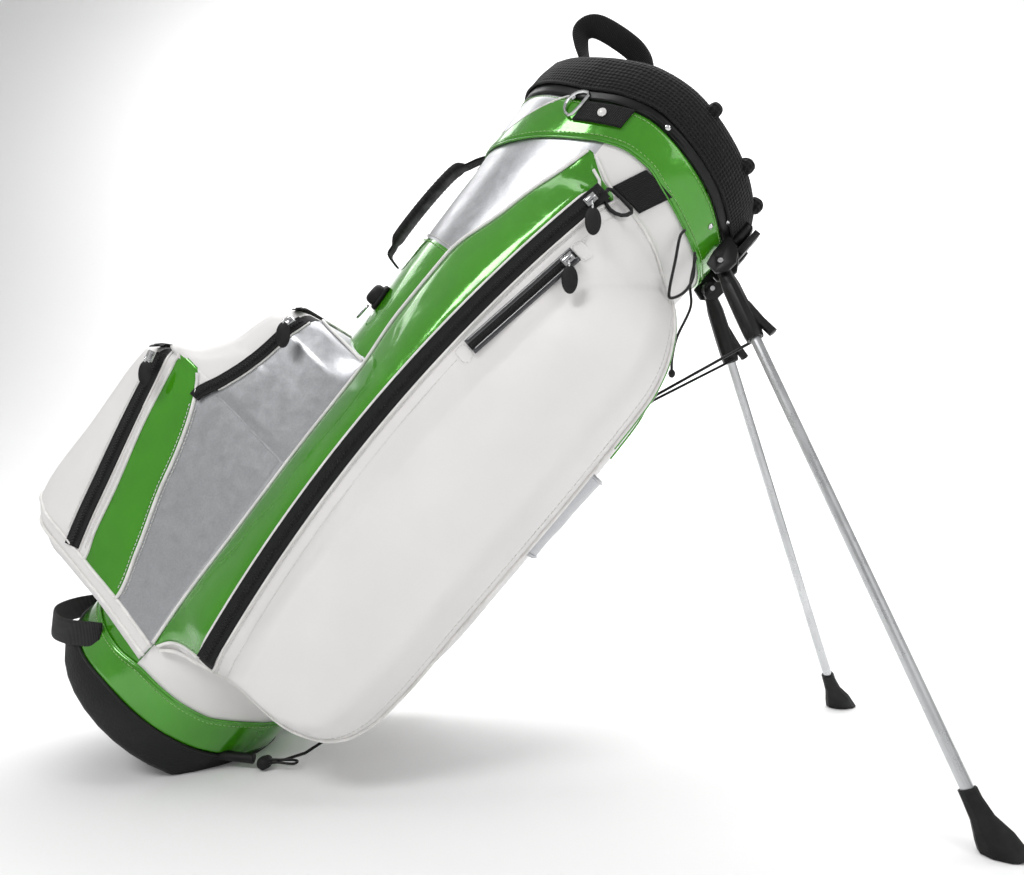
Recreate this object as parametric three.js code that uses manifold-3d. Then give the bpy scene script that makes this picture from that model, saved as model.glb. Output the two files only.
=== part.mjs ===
// Golf stand bag, leaning on its base with both stand legs open. Millimetres, +Z up.
// Origin: on the ground, at the middle of the flat the base stands on.
// Everything is built in the bag frame: origin at the centre of the base's bottom face,
// x towards the belly (leg side), y across the bag, z along the bag towards its mouth.
// "Near" is the -y side, "far" is +y, and the spine is the -x side.
import * as THREE from "three";
import Module from "manifold-3d";

const wasm = await Module();
wasm.setup();

// ---------- driving dimensions ----------
const LEAN_DEG = 46.889; // angle between the bag's axis and the ground
const BASE_H = 56.247; // height of the base's centre above the ground
const FLAT_X = 93; // from below the base's centre to the middle of its standing flat
const RIM_Z = 823; // where the collar meets the moulded rim
const TOP_Z = 842; // top of the moulded rim at the belly
const CUFF_Z = 878; // highest point of the padded cuff, at the sides
const BAR_Z = 816; // mid-height of the divider bars
const DIVIDER_X = [-48, 52]; // the two dividers that run across the bag
const FABRIC = 4; // wall of the body sock
const POCKET_WALL = 3.4; // wall of every pocket
const ZIP_W = 13; // width of a zip's tape, except the small zip's
const LEG_PIVOT = [155, -45, 785.7]; // pin of the near leg's hinge
const LEG_OPEN = [0.84335, -0.2566, -0.47184]; // direction of the open near leg
const LEG_LEN = 563; // pin to the sole of the foot
const LEG_R = 5.4; // leg tube radius
const WIRE_R = 1.6; // spring wire radius

const LEAN = THREE.MathUtils.degToRad(LEAN_DEG);
const LEAN_SIN = Math.sin(LEAN);
const LEAN_COS = Math.cos(LEAN);

const root = new THREE.Group();
const bag = new THREE.Group();
bag.rotation.y = Math.PI / 2 - LEAN;
bag.position.set(-FLAT_X, 0, BASE_H);
root.add(bag);

// Moving pieces: [centre, axis or direction] in the bag frame.
const pivots = {};

// ---------- materials ----------
const standard = (settings) => new THREE.MeshStandardMaterial(settings);
const finish = {
  white: standard({ color: 0xe6e3df, roughness: 0.55 }),
  green: standard({ color: 0x46962a, roughness: 0.12 }),
  silver: standard({ color: 0xb4b4b4, roughness: 0.35, metalness: 0.6 }),
  black: standard({ color: 0x141416, roughness: 0.6 }),
  webbing: standard({ color: 0x121214, roughness: 0.85 }),
  aluminium: standard({ color: 0xc9c7c3, roughness: 0.3, metalness: 1 }),
  steel: standard({ color: 0xb8b0a4, roughness: 0.22, metalness: 1 }),
  rubber: standard({ color: 0x17171a, roughness: 0.7 }),
  wire: standard({ color: 0x18181a, roughness: 0.4, metalness: 0.3 }),
  liner: standard({ color: 0x3a3a3c, roughness: 0.9 }),
  nylon: standard({ color: 0x202022, roughness: 0.5 }),
};

// ---------- points and directions, as [x, y, z] ----------
const X_AXIS = [1, 0, 0];
const Y_AXIS = [0, 1, 0];
const Z_AXIS = [0, 0, 1];
const NEAR = [0, -1, 0];
const vector = (a) => new THREE.Vector3(...a);
const moved = (point, direction, distance) => point.map((v, i) => v + direction[i] * distance);
const mix = (a, b, k) => a.map((v, i) => v + (b[i] - v) * k);
const minus = (a, b) => a.map((v, i) => v - b[i]);
const flipY = ([x, y, z]) => [x, -y, z];
const unit = (a) => {
  const length = Math.hypot(...a);
  return a.map((v) => v / length);
};
const cross = (a, b) => [
  a[1] * b[2] - a[2] * b[1],
  a[2] * b[0] - a[0] * b[2],
  a[0] * b[1] - a[1] * b[0],
];
const inFrame = (origin, axes, amounts) =>
  amounts.reduce((point, amount, i) => moved(point, axes[i], amount), origin);
const times = (count, make) => Array.from({ length: count }, (_, i) => make(i));
const around = (count, make) => times(count, (i) => make((2 * Math.PI * i) / count));

// ---------- solids ----------
const signedVolume = (points, triangles) => {
  let volume = 0;
  for (let i = 0; i < triangles.length; i += 3) {
    const a = points[triangles[i]];
    const normal = cross(points[triangles[i + 1]], points[triangles[i + 2]]);
    volume += a[0] * normal[0] + a[1] * normal[1] + a[2] * normal[2];
  }
  return volume / 6;
};
// A manifold solid; the triangles are turned over if they face inwards.
const solid = (points, triangles) => {
  const t = [...triangles];
  if (signedVolume(points, t) < 0) {
    for (let i = 0; i < t.length; i += 3) [t[i + 1], t[i + 2]] = [t[i + 2], t[i + 1]];
  }
  return new wasm.Manifold(new wasm.Mesh({
    numProp: 3,
    vertProperties: new Float32Array(points.flat()),
    triVerts: new Uint32Array(t),
  }));
};
// Triangles between neighbouring rings; `closed` also joins the last ring to the first.
const stitch = (rings, closed = false) => {
  const count = rings[0].length;
  const triangles = [];
  for (let k = 0; k < (closed ? rings.length : rings.length - 1); k++) {
    const here = k * count;
    const there = ((k + 1) % rings.length) * count;
    for (let i = 0; i < count; i++) {
      const j = (i + 1) % count;
      triangles.push(here + i, here + j, there + j, here + i, there + j, there + i);
    }
  }
  return triangles;
};
// A solid through rings; open ends are capped by a fan from each ring's first point.
const tube = (rings, closed = false) => {
  const triangles = stitch(rings, closed);
  const count = rings[0].length;
  const last = (rings.length - 1) * count;
  if (!closed) {
    for (let i = 1; i + 1 < count; i++) triangles.push(0, i + 1, i, last, last + i, last + i + 1);
  }
  return solid(rings.flat(), triangles);
};
// A solid through rings, capped by flat polygons seen along axis `drop` (0 x, 1 y, 2 z).
const loft = (rings, drop = 2) => {
  const count = rings[0].length;
  const cap = (ringIndex, reversed) => {
    const outline = rings[ringIndex].map(
      (point) => new THREE.Vector2(...point.filter((_, axis) => axis !== drop)),
    );
    const faces = THREE.ShapeUtils.triangulateShape(outline, []);
    // the triangulation has its own winding, which the edge from point 0 to point 1 tells
    const forward = faces.some((f) => f.some((v, i) => v === 0 && f[(i + 1) % 3] === 1));
    return faces
      .flatMap(([a, b, c]) => (forward === reversed ? [a, c, b] : [a, b, c]))
      .map((index) => index + ringIndex * count);
  };
  return solid(rings.flat(), [...stitch(rings), ...cap(0, true), ...cap(rings.length - 1, false)]);
};
const box = (size, centre, axes = [X_AXIS, Y_AXIS, Z_AXIS]) =>
  tube([-1, 1].map((z) =>
    [[-1, -1], [1, -1], [1, 1], [-1, 1]].map(([x, y]) =>
      inFrame(centre, axes, [(x * size[0]) / 2, (y * size[1]) / 2, (z * size[2]) / 2]))));
// Sweeps a section of [side, up] points along a path; `up` is carried along the path.
const sweep = (path, section, firstUp, closed = false) => {
  const points = path.map(vector);
  const last = points.length - 1;
  let up = vector(firstUp).normalize();
  const rings = points.map((point, i) => {
    const previous = points[i > 0 ? i - 1 : closed ? last : 0];
    const next = points[i < last ? i + 1 : closed ? 0 : last];
    const along = next.clone().sub(previous).normalize();
    up = up.clone().sub(along.clone().multiplyScalar(up.dot(along))).normalize();
    const side = along.clone().cross(up);
    return section.map(([a, b]) =>
      point.clone().addScaledVector(side, a).addScaledVector(up, b).toArray());
  });
  return tube(rings, closed);
};
const disc = (radius, count, sideScale = 1) =>
  around(count, (a) => [sideScale * radius * Math.cos(a), radius * Math.sin(a)]);
const slab = (width, thickness) =>
  [[-1, -1], [1, -1], [1, 1], [-1, 1]].map(([a, b]) => [(a * width) / 2, (b * thickness) / 2]);
const rod = (from, to, radius, count) => {
  const direction = unit(minus(to, from));
  return sweep([from, to], disc(radius, count), Math.abs(direction[2]) < 0.8 ? Z_AXIS : X_AXIS);
};
const union = (...solids) => solids.reduce((a, b) => a.add(b));
const largest = (s) => s.decompose().sort((a, b) => b.volume() - a.volume())[0];
const mirrorY = (s) => {
  const mesh = s.getMesh();
  const points = times(mesh.numVert, (i) =>
    flipY([...mesh.vertProperties.subarray(i * mesh.numProp, i * mesh.numProp + 3)]));
  return solid(points, mesh.triVerts);
};
// Everything below a height above the ground, as a solid to cut away.
const below = (height) => {
  const up = [-LEAN_COS, 0, LEAN_SIN]; // the world's +Z in the bag frame
  const centre = moved([0, 0, 0], up, height - 300 - BASE_H);
  return box([2400, 900, 600], centre, [[LEAN_SIN, 0, LEAN_COS], Y_AXIS, up]);
};

// ---------- meshes ----------
const add = (name, s, material) => {
  const { vertProperties, triVerts } = s.getMesh();
  const geometry = new THREE.BufferGeometry();
  geometry.setAttribute(
    "position",
    new THREE.BufferAttribute(new Float32Array(vertProperties), 3),
  );
  geometry.setIndex(new THREE.BufferAttribute(new Uint32Array(triVerts), 1));
  geometry.computeVertexNormals();
  const mesh = new THREE.Mesh(geometry, material);
  mesh.name = name;
  bag.add(mesh);
};
const addBoth = (name, nearSolid, material) => {
  add(`${name}_near`, nearSolid, material);
  add(`${name}_far`, mirrorY(nearSolid), material);
};

// ---------- curves through tables ----------
// A monotone piecewise cubic through [input, value] pairs, held level beyond its ends.
const spline = (table) => {
  const last = table.length - 1;
  const slopes = times(last, (i) =>
    (table[i + 1][1] - table[i][1]) / (table[i + 1][0] - table[i][0]));
  const tangents = table.map((_, i) => {
    if (i === 0) return slopes[0];
    if (i === last) return slopes[last - 1];
    const before = slopes[i - 1];
    const after = slopes[i];
    return before * after <= 0 ? 0 : (2 * before * after) / (before + after);
  });
  return (x) => {
    if (x <= table[0][0]) return table[0][1];
    if (x >= table[last][0]) return table[last][1];
    let i = 0;
    while (x > table[i + 1][0]) i++;
    const h = table[i + 1][0] - table[i][0];
    const s = (x - table[i][0]) / h;
    return (2 * s ** 3 - 3 * s ** 2 + 1) * table[i][1]
      + (s ** 3 - 2 * s ** 2 + s) * h * tangents[i]
      + (-2 * s ** 3 + 3 * s ** 2) * table[i + 1][1]
      + (s ** 3 - s ** 2) * h * tangents[i + 1];
  };
};
// An edge round the body, from [cosine of the angle, z]: -1 is the spine, 1 the belly.
const edgeRound = (table) => {
  const curve = spline(table);
  return (angle) => curve(Math.cos(angle));
};

// ---------- the body's section: an ellipse that changes along the bag ----------
// z against the centre's x, the half-width in x and the half-width in y
const bodyCentre = spline([[0, 0], [100, 0], [440, 9], [600, 5], [740, 3.5], [RIM_Z, 2], [900, 2]]);
const bodyHalfX = spline([
  [0, 128], [100, 127], [300, 122], [440, 121], [600, 129], [740, 138], [RIM_Z, 142], [900, 142],
]);
const bodyHalfY = spline([
  [0, 119], [100, 118], [300, 112], [440, 110], [600, 115], [740, 122], [RIM_Z, 126], [900, 126],
]);
// Angle 0 is the belly, -90 degrees the near side, 180 the spine; `off` is outwards.
const onBody = (angle, z, off) => [
  bodyCentre(z) + (bodyHalfX(z) + off) * Math.cos(angle),
  (bodyHalfY(z) + off) * Math.sin(angle),
  z,
];
// y of the body's near side at x, or 0 beyond the body
const bodyNearY = (x, z, off) => {
  const square = 1 - ((x - bodyCentre(z)) / (bodyHalfX(z) + off)) ** 2;
  return square > 0 ? -(bodyHalfY(z) + off) * Math.sqrt(square) : 0;
};
const spineX = (z) => bodyCentre(z) - bodyHalfX(z);
const bodyLoft = (low, high, off, columns, levels) =>
  loft(times(levels + 1, (i) => {
    const z = low + ((high - low) * i) / levels;
    return around(columns, (angle) => onBody(angle, z, off));
  }));
const bandSection = (angle, low, high, inner, outer) => [
  onBody(angle, low, outer),
  onBody(angle, high, outer),
  onBody(angle, high, inner),
  onBody(angle, low, inner),
];
const bandRound = (columns, low, high, inner, outer) =>
  tube(around(columns, (a) => bandSection(a, low(a), high(a), inner, outer)), true);

// ---------- base ----------
const LUG_Y = 66; // the two slanting lugs on the base's belly
const BASE_OFF = 3.2; // how far the base stands off the body
const BASE_FOOT = [[0, -4], [3, 0], [8, BASE_OFF]]; // z, offset from the body
const baseTop = edgeRound([[-1.01, 24], [-0.6, 29], [-0.1, 38], [0.6, 39], [1.01, 42]]);
const baseBandTop = edgeRound([
  [-1.01, 60], [-0.3, 70], [0, 77], [0.33, 76], [0.57, 77], [0.75, 84], [0.86, 88], [1.01, 91],
]);
const baseShell = () => {
  const count = 36;
  const rings = BASE_FOOT.map(([z, off]) => around(count, (a) => onBody(a, z, off)));
  rings.push(around(count, (a) => onBody(a, baseTop(a), BASE_OFF)));
  const points = [...rings.flat(), [0, 0, 0], [0, 0, 50]];
  const triangles = stitch(rings);
  const top = 3 * count;
  const bottomCentre = 4 * count;
  for (let i = 0; i < count; i++) {
    const j = (i + 1) % count;
    triangles.push(bottomCentre, j, i, bottomCentre + 1, top + i, top + j);
  }
  const cavity = bodyLoft(6, 140, 0.5, 36, 2).subtract(below(4.6));
  let base = solid(points, triangles).subtract(cavity).subtract(below(0));
  for (const side of [-1, 1]) {
    const lug = rod([100, LUG_Y * side, 36], [136.5, LUG_Y * side, 64], 5, 12);
    base = base.add(lug.subtract(bodyLoft(0, 140, 1, 36, 2)));
  }
  return base.subtract(below(0));
};
const baseBand = () => {
  const lugRoom = (y) => rod([90, y, 28.4], [150, y, 74.4], 6, 12);
  return bandRound(36, (a) => baseTop(a) + 0.6, baseBandTop, 0.6, 2.7)
    .subtract(lugRoom(-LUG_Y))
    .subtract(lugRoom(LUG_Y));
};
add("base_shell", baseShell(), finish.black);
add("base_band", baseBand(), finish.green);

// ---------- body sock, divider panels and stays ----------
const bodyShell = () => {
  const outer = bodyLoft(6.8, 818, 0, 40, 7).subtract(below(5.2));
  const inner = bodyLoft(10.8, 900, -FABRIC, 24, 5).subtract(below(9.4));
  return outer.subtract(inner);
};
const dividerPanels = () => {
  const thickness = 1.6;
  const room = bodyLoft(14, BAR_Z - 12, -FABRIC - 18, 16, 3).subtract(below(16));
  return union(
    box([260, thickness, 900], [0, 0, 430]),
    ...DIVIDER_X.map((x) => box([thickness, 260, 900], [x, 0, 430])),
  ).intersect(room);
};
const stayRod = (angle, up) => {
  const path = [24, 160, 300, 440, 600, 740, 803].map((z) => onBody(angle, z, -FABRIC - 6.4));
  return sweep(path, disc(2.8, 6), up);
};
add("body_shell", bodyShell(), finish.white);
add("divider_panels", dividerPanels(), finish.liner);
add("stay_rod_near", stayRod(-Math.PI / 2, X_AXIS), finish.nylon);
add("stay_rod_far", stayRod(Math.PI / 2, X_AXIS), finish.nylon);
add("stay_rod_spine", stayRod(Math.PI, Y_AXIS), finish.nylon);

// ---------- collar, moulded rim, cuff and divider bars ----------
const MOUTH_COLUMNS = 40;
const collarLow = edgeRound([
  [-1.01, 718], [-0.9, 723], [-0.76, 731], [-0.5, 750], [-0.25, 767], [-0.08, 779],
  [0.13, 788], [0.28, 789], [0.45, 784], [0.7, 777], [0.92, 771], [1.01, 768],
]);
const rimLow = edgeRound([
  [-1.01, 790], [-0.78, 795], [-0.46, 801], [-0.15, 817], [0.15, 826],
  [0.45, 823], [0.72, 817], [0.91, 809], [1.01, 807],
]);
// the mouth is cut a little on the slant
const rimTop = edgeRound([[-1.01, 830], [-0.5, 834], [0, 840], [1.01, TOP_Z]]);
const cuffTop = edgeRound([
  [-1.01, 847], [-0.7, 851], [-0.4, 862], [-0.1, 874], [0.2, CUFF_Z], [0.6, 873], [1.01, 862],
]);
// A solid of revolution-like sections; `profile` gives [z, offset] points at an angle.
const mouthRing = (profile) =>
  tube(around(MOUTH_COLUMNS, (a) => profile(a).map(([z, off]) => onBody(a, z, off))), true);
// A straight-sided block with the mouth's outline.
const mouthPrism = (low, high, off) =>
  loft([low, high].map((level) =>
    around(MOUTH_COLUMNS, (a) => {
      const [x, y] = onBody(a, RIM_Z, off);
      return [x, y, level];
    })));
const topRim = () => {
  const rim = mouthRing((a) => {
    const low = rimLow(a);
    const top = rimTop(a);
    return [
      [low, 3.8], [Math.min(RIM_Z + 6, top - 12), 5], [top - 8, 5], [top, 1], [top, -7],
      [top - 10, -11], [818.5, -11], [818.5, 0.25], [low, 0.25],
    ];
  });
  // the leg brackets sit on a pad moulded on the rim's belly
  const pad = box([10, 84, 26], [150.5, 0, RIM_Z + 5]);
  return rim.add(pad.subtract(mouthPrism(RIM_Z - 60, TOP_Z - 10, 4)));
};
const CUFF_KNOBS = [[-1.2, 15], [-0.72, 16], [-0.3, 17]]; // angle, width
const cuffPad = () => {
  const cuff = mouthRing((a) => {
    const low = rimTop(a);
    const top = cuffTop(a);
    return [
      [low + 0.5, -5], [low + 5, -1.5], [top - 6, -1.5], [top, -6],
      [top, -10], [top - 5, -13.5], [low + 0.5, -14], [low + 0.5, -11],
    ];
  });
  // knobs that the dividers' ends make on the cuff
  const knobs = CUFF_KNOBS.map(([angle, width]) => {
    const [x, y] = onBody(angle, RIM_Z, -8);
    const centre = [x, y, cuffTop(angle) - 1];
    const outward = [Math.cos(angle), Math.sin(angle), 0];
    return rod(moved(centre, outward, -4), moved(centre, outward, 8), width / 2, 10);
  });
  return union(cuff, ...knobs);
};
const dividerBars = () => {
  const width = 13;
  const height = 22;
  return union(
    box([280, width, height], [10, 0, BAR_Z]),
    ...DIVIDER_X.map((x) => box([width, 260, height], [x, 0, BAR_Z])),
  ).intersect(mouthPrism(RIM_Z - 20, TOP_Z - 9.4, -11.6));
};
const collarBand = bandRound(MOUTH_COLUMNS, collarLow, (a) => rimLow(a) - 0.6, 0.6, 2.9);
add("collar_band", collarBand, finish.green);
add("top_rim", topRim(), finish.black);
add("cuff_pad", cuffPad(), finish.webbing);
add("divider_bars", dividerBars(), finish.webbing);

// ---------- lift handle over the mouth ----------
const LIFT_END_Z = BAR_Z + 11.4; // just clear of the divider bars' tops
const LIFT_PATH = [
  [-106, 0, LIFT_END_Z], [-108, 0, 858], [-122, 0, 880], [-146, 0, 898], [-157, 0, 911],
  [-151, 0, 925], [-130, 0, 931], [-92, 0, 932], [-67, 0, 922], [-54, 0, 902],
  [-49, 0, 870], [-48, 0, LIFT_END_Z],
];
add("lift_handle", sweep(LIFT_PATH, disc(4.2, 10, 3.1), X_AXIS), finish.black);

// ---------- side pockets ----------
const POCKET_LOW = 104;
const POCKET_TOP = 765;
const POCKET_LEVELS = [
  POCKET_LOW, 120, 137, 155, 178, 205, 300, 450, 570, 640, 675, 705, 726, 745, POCKET_TOP,
];
// z against x of the spine-side edge
const pocketSpineX = spline([
  [104, -12], [160, -20], [230, -27], [350, -40], [447, -48], [522, -58],
  [598, -59], [662, -41], [698, -32], [731, -21], [765, -12],
]);
// z against x of the belly-side edge
const pocketBellyX = spline([
  [104, -4], [118, 12], [130, 40], [139, 75], [147, 115], [158, 155], [172, 186],
  [188, 200], [215, 207], [260, 209], [330, 207], [480, 203], [560, 199], [615, 195],
  [645, 188], [672, 176], [700, 158], [721, 137], [729, 118], [738, 99], [745, 70],
  [747, 50], [749, 30], [757, 10], [765, -6],
]);
// z against |y| of the belly edge's inner line
const pocketEdgeY = spline([
  [104, 96], [150, 101], [645, 101], [672, 92], [700, 72], [721, 48], [735, 0],
]);
// z against how far the pocket stands off the body
const pocketDepth = spline([
  [104, 24], [125, 38], [160, 46], [600, 46], [650, 41],
  [690, 31], [721, 17], [735, 8], [745, 5], [765, 4],
]);
// z against the share of that depth lost at the belly edge
const pocketFall = spline([
  [104, 0.2], [150, 0.25], [200, 0.8], [640, 0.8], [700, 0.6], [765, 0.5],
]);

// The main zip runs on a circle in x and z, through three points.
const circleThrough = ([x1, z1], [x2, z2], [x3, z3]) => {
  const d = 2 * (x1 * (z2 - z3) + x2 * (z3 - z1) + x3 * (z1 - z2));
  const s1 = x1 * x1 + z1 * z1;
  const s2 = x2 * x2 + z2 * z2;
  const s3 = x3 * x3 + z3 * z3;
  const x = (s1 * (z2 - z3) + s2 * (z3 - z1) + s3 * (z1 - z2)) / d;
  const z = (s1 * (x3 - x2) + s2 * (x1 - x3) + s3 * (x2 - x1)) / d;
  return { x, z, radius: Math.hypot(x1 - x, z1 - z) };
};
const ZIP_SLOPE = 0.0225; // change of the main zip's y along the bag
const zipArc = circleThrough([30, 736], [12, 560], [44, 170]);
const zipX = (z) => zipArc.x - Math.sqrt(zipArc.radius ** 2 - (z - zipArc.z) ** 2);
const zipY = (z) => -154 + (z - 158) * ZIP_SLOPE;
const zipAngle = (z) => Math.asin((z - zipArc.z) / zipArc.radius);

const { clamp } = THREE.MathUtils;
const ease = (t) => THREE.MathUtils.smoothstep(t, 0, 1);
// y of the near pocket's outer face
const faceY = (x, z) => {
  const spineEdge = pocketSpineX(z);
  const depth = pocketDepth(z);
  const startY = bodyNearY(spineEdge, z, 1.5) - 2;
  const seamX = zipX(clamp(z, 150, 738));
  const toBelly = clamp((pocketBellyX(z) - x) / 36, 0, 1);
  const full = Math.max(-bodyNearY(x, z, 1.5), pocketEdgeY(z))
    + depth * (0.75 + 0.5 * ease((x - seamX) / 120))
    - depth * pocketFall(z) * (1 - toBelly) ** 2;
  const y = startY + (-full - startY) * ease((x - spineEdge + 6) / (seamX + 22 - spineEdge));
  // the face is drawn to the main zip's plane near the zip
  const flatten = ease(1.25 - Math.abs(x - seamX) / 34)
    * ease((z - 128) / 40)
    * ease((742 - z) / 26);
  return y + (zipY(z) - y) * flatten;
};
// The near pocket as a filled block, shrunk by `inset`.
const pocketBlock = (inset) => {
  const margin = inset * 1.6;
  return loft(POCKET_LEVELS.map((level) => {
    const z = clamp(level, POCKET_LOW + margin, POCKET_TOP - margin);
    const left = pocketSpineX(z) + inset;
    const right = Math.max(pocketBellyX(z) - inset, left + 2);
    const width = right - left;
    const edge = pocketEdgeY(z);
    const face = times(7, (i) => {
      const x = left + (width * i) / 6;
      return [x, Math.min(faceY(x, z) + inset, -12), z];
    });
    return [
      ...face,
      [right, Math.min(-edge - inset * 0.6, -8), z],
      [left + width * 0.93, Math.min(-edge * 0.82 - inset, -7), z],
      [left + width * 0.6, Math.min(-edge * 0.7 - inset, -6), z],
      [left + 1, -58, z],
    ];
  }));
};
const pocketSeat = bodyLoft(-20, 840, 3.4, 24, 6); // the body as the pockets sit on it
const sidePocket = () => {
  // the hollow stops short at the belly, towards the bag's middle
  const hollowZone = box([600, 400, 1200], [0, 0, 400])
    .subtract(box([400, 100, 1200], [330, -45, 400]));
  const hollow = pocketBlock(POCKET_WALL).intersect(hollowZone);
  return largest(pocketBlock(0).subtract(pocketSeat).subtract(hollow));
};
const mainZipTape = () => {
  const path = times(15, (i) => {
    const z = 162 + (572 * i) / 14;
    return [zipX(z), zipY(z) - 2, z];
  });
  return sweep(path, slab(ZIP_W, 1.6), NEAR);
};
addBoth("side_pocket", sidePocket(), finish.white);
addBoth("main_zip_tape", mainZipTape(), finish.webbing);

// The small zip is a straight run, lifted clear of the near pocket's face.
const smallZipEnds = [[37, 540], [52, 673]].map(([x, z]) => [x, faceY(x, z), z]);
const smallZipBulge = Math.max(...times(21, (i) => {
  const [x, y, z] = mix(...smallZipEnds, i / 20);
  return y - faceY(x, z);
}));
const smallZipPoint = (k, lift = 0) =>
  moved(mix(...smallZipEnds, k), NEAR, smallZipBulge + 1.9 + lift);
const smallZipTape = sweep([smallZipPoint(0), smallZipPoint(1)], slab(10, 1.4), NEAR);
add("small_zip_tape_near", smallZipTape, finish.webbing);

// ---------- zip sliders and pulls ----------
const PULL_W = 12;
const HANG = [LEAN_SIN, 0, -LEAN_COS]; // how pulls hang: within 4 degrees of straight down
// A slider's body and its bridge; `along` is the zip's direction, `out` is off the tape.
const slider = (at, along, out) => {
  const z = unit(along);
  const y = unit(out);
  const axes = [cross(y, z), y, z];
  const part = (size, lift, shift = 0) => box(size, inFrame(at, axes, [0, lift, shift]), axes);
  return union(
    part([8.5, 2.4, 12], 1.6),
    part([3, 3, 2], 4.1, 4),
    part([3, 3, 2], 4.1, -4),
    part([3, 1.2, 10], 6.1),
  );
};
// A flat tab that hangs from the slider's bridge along `along`.
const pull = (at, along, out, length) => {
  const z = unit(along);
  const y = unit(out);
  const axes = [cross(y, z), y, z];
  const half = [
    [2.2, 2.2], [2.6, 8], [PULL_W / 2, 14], [PULL_W / 2, length * 0.72], [PULL_W / 4, length],
  ];
  const outline = [...half.map(([a, c]) => [-a, c]), ...half.reverse()];
  return loft([-1.5, 1.5].map((b) => outline.map(([a, c]) => inFrame(at, axes, [a, b, c]))), 1);
};

const MAIN_SLIDER_Z = 722;
const MAIN_SLIDER_LOW_Z = 180; // the slider's place with the main zip open
const mainSliderAngle = zipAngle(MAIN_SLIDER_Z);
const mainZipDirection = [Math.sin(mainSliderAngle), 0, Math.cos(mainSliderAngle)];
const mainZipPoint = [zipX(MAIN_SLIDER_Z), zipY(MAIN_SLIDER_Z), MAIN_SLIDER_Z];
const mainSlider = slider(moved(mainZipPoint, NEAR, 3.1), mainZipDirection, NEAR);
const mainPull = pull(moved(mainZipPoint, [0.5, -11.4, 0], 1), HANG, NEAR, 36);
addBoth("main_zip_slider", mainSlider, finish.steel);
addBoth("main_zip_pull", mainPull, finish.rubber);

const smallZipDirection = minus(smallZipPoint(1), smallZipPoint(0));
const smallSliderAt = smallZipPoint(0.93, 1.2);
const smallPull = pull(moved(smallSliderAt, [0.4, -8.6, 0], 1), HANG, NEAR, 34);
add("small_zip_slider", slider(smallSliderAt, smallZipDirection, NEAR), finish.steel);
add("small_zip_pull", smallPull, finish.rubber);

Object.assign(pivots, {
  main_zip_slider: [[zipArc.x, zipY(zipArc.z) - 3.1, zipArc.z], [0, -1, ZIP_SLOPE]],
  main_zip_pull: [moved(mainZipPoint, NEAR, 8), NEAR],
  main_zip_range_deg: [
    THREE.MathUtils.radToDeg(mainSliderAngle - zipAngle(MAIN_SLIDER_LOW_Z)),
  ],
  small_zip_slider: [smallSliderAt, smallZipDirection],
  small_zip_pull: [smallSliderAt, NEAR],
});

// ---------- ball pocket and valuables pocket on the spine ----------
// A pocket's outline at a level, from the body round its front: `sides` and `nose` are
// [x, half-width] points; sides that crowd the front are left out and made up by midpoints.
const spinePocketRing = (z, front, sides, nose) => {
  const half = [...sides.filter(([x]) => x > front + 34), ...nose];
  while (half.length < sides.length + nose.length) half.splice(1, 0, mix(half[0], half[1], 0.5));
  return [...half.map(([x, y]) => [x, -y, z]), ...half.reverse().map(([x, y]) => [x, y, z])];
};
const backX = (inset) => (inset ? -68 : -44); // where a ring starts, inside the body
const sidePocketRoom = pocketBlock(-1.4);
const spinePocket = (outerRings, innerRings) =>
  largest(loft(outerRings)
    .subtract(pocketSeat)
    .subtract(loft(innerRings))
    .subtract(sidePocketRoom)
    .subtract(mirrorY(sidePocketRoom)));

const BALL_LEVELS = [82, 90, 106, 140, 235, 294, 309, 330];
// z against x of the ball pocket's front
const ballFrontX = spline([
  [82, -206], [90, -234], [106, -251], [140, -260], [190, -265], [235, -271],
  [285, -277], [297, -277], [306, -267], [318, -250], [330, -236],
]);
const ballRing = (z, outerFront, inset = 0) => {
  const front = outerFront + inset;
  const sides = [[backX(inset), 106], [-84, 105], [-130, 101], [-180, 97], [-225, 91]];
  const width = 66 + Math.max(0, (front + 290) * 0.3) - inset;
  return spinePocketRing(z, front, sides.map(([x, y]) => [x, y - inset]), [
    [front + 30, width + 8],
    [front + 10, width - 4],
    [front + 1.5, width - 26],
    [front, (width - 26) * 0.45],
  ]);
};
const ballPocket = () => spinePocket(
  BALL_LEVELS.map((z) => ballRing(z, ballFrontX(z))),
  BALL_LEVELS.map((z) => ballRing(z * 0.975 + 4.5, ballFrontX(z), POCKET_WALL)),
);

const VALUABLES_LEVELS = [332, 345, 362, 392, 425, 447, 456, 460];
// z against x of the valuables pocket's front
const valuablesFrontX = spline([
  [332, -234], [345, -216], [362, -201], [382, -189], [405, -184],
  [428, -176], [447, -162], [455, -138], [460, -110],
]);
// `level` is the height that sets the shape, z where the ring is put
const valuablesRing = (level, z, inset = 0) => {
  const front = valuablesFrontX(level) + inset;
  const width = 88.5 - Math.max(0, level - 425) * 0.5 - inset;
  const sides = [[backX(inset), width + 11], [-84, width + 9], [-110, width + 6]];
  return spinePocketRing(z, front, sides, [
    [front + 26, width],
    [front + 10, width - 8],
    [front + 2, width - 22],
    [front, (width - 22) * 0.45],
  ]);
};
const valuablesPocket = () => spinePocket(
  VALUABLES_LEVELS.map((z) => valuablesRing(z, z)),
  VALUABLES_LEVELS.map((z) => valuablesRing(z, 336 + (z - 332) * 0.92, POCKET_WALL)),
);
add("ball_pocket", ballPocket(), finish.silver);
add("valuables_pocket", valuablesPocket(), finish.white);

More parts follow.
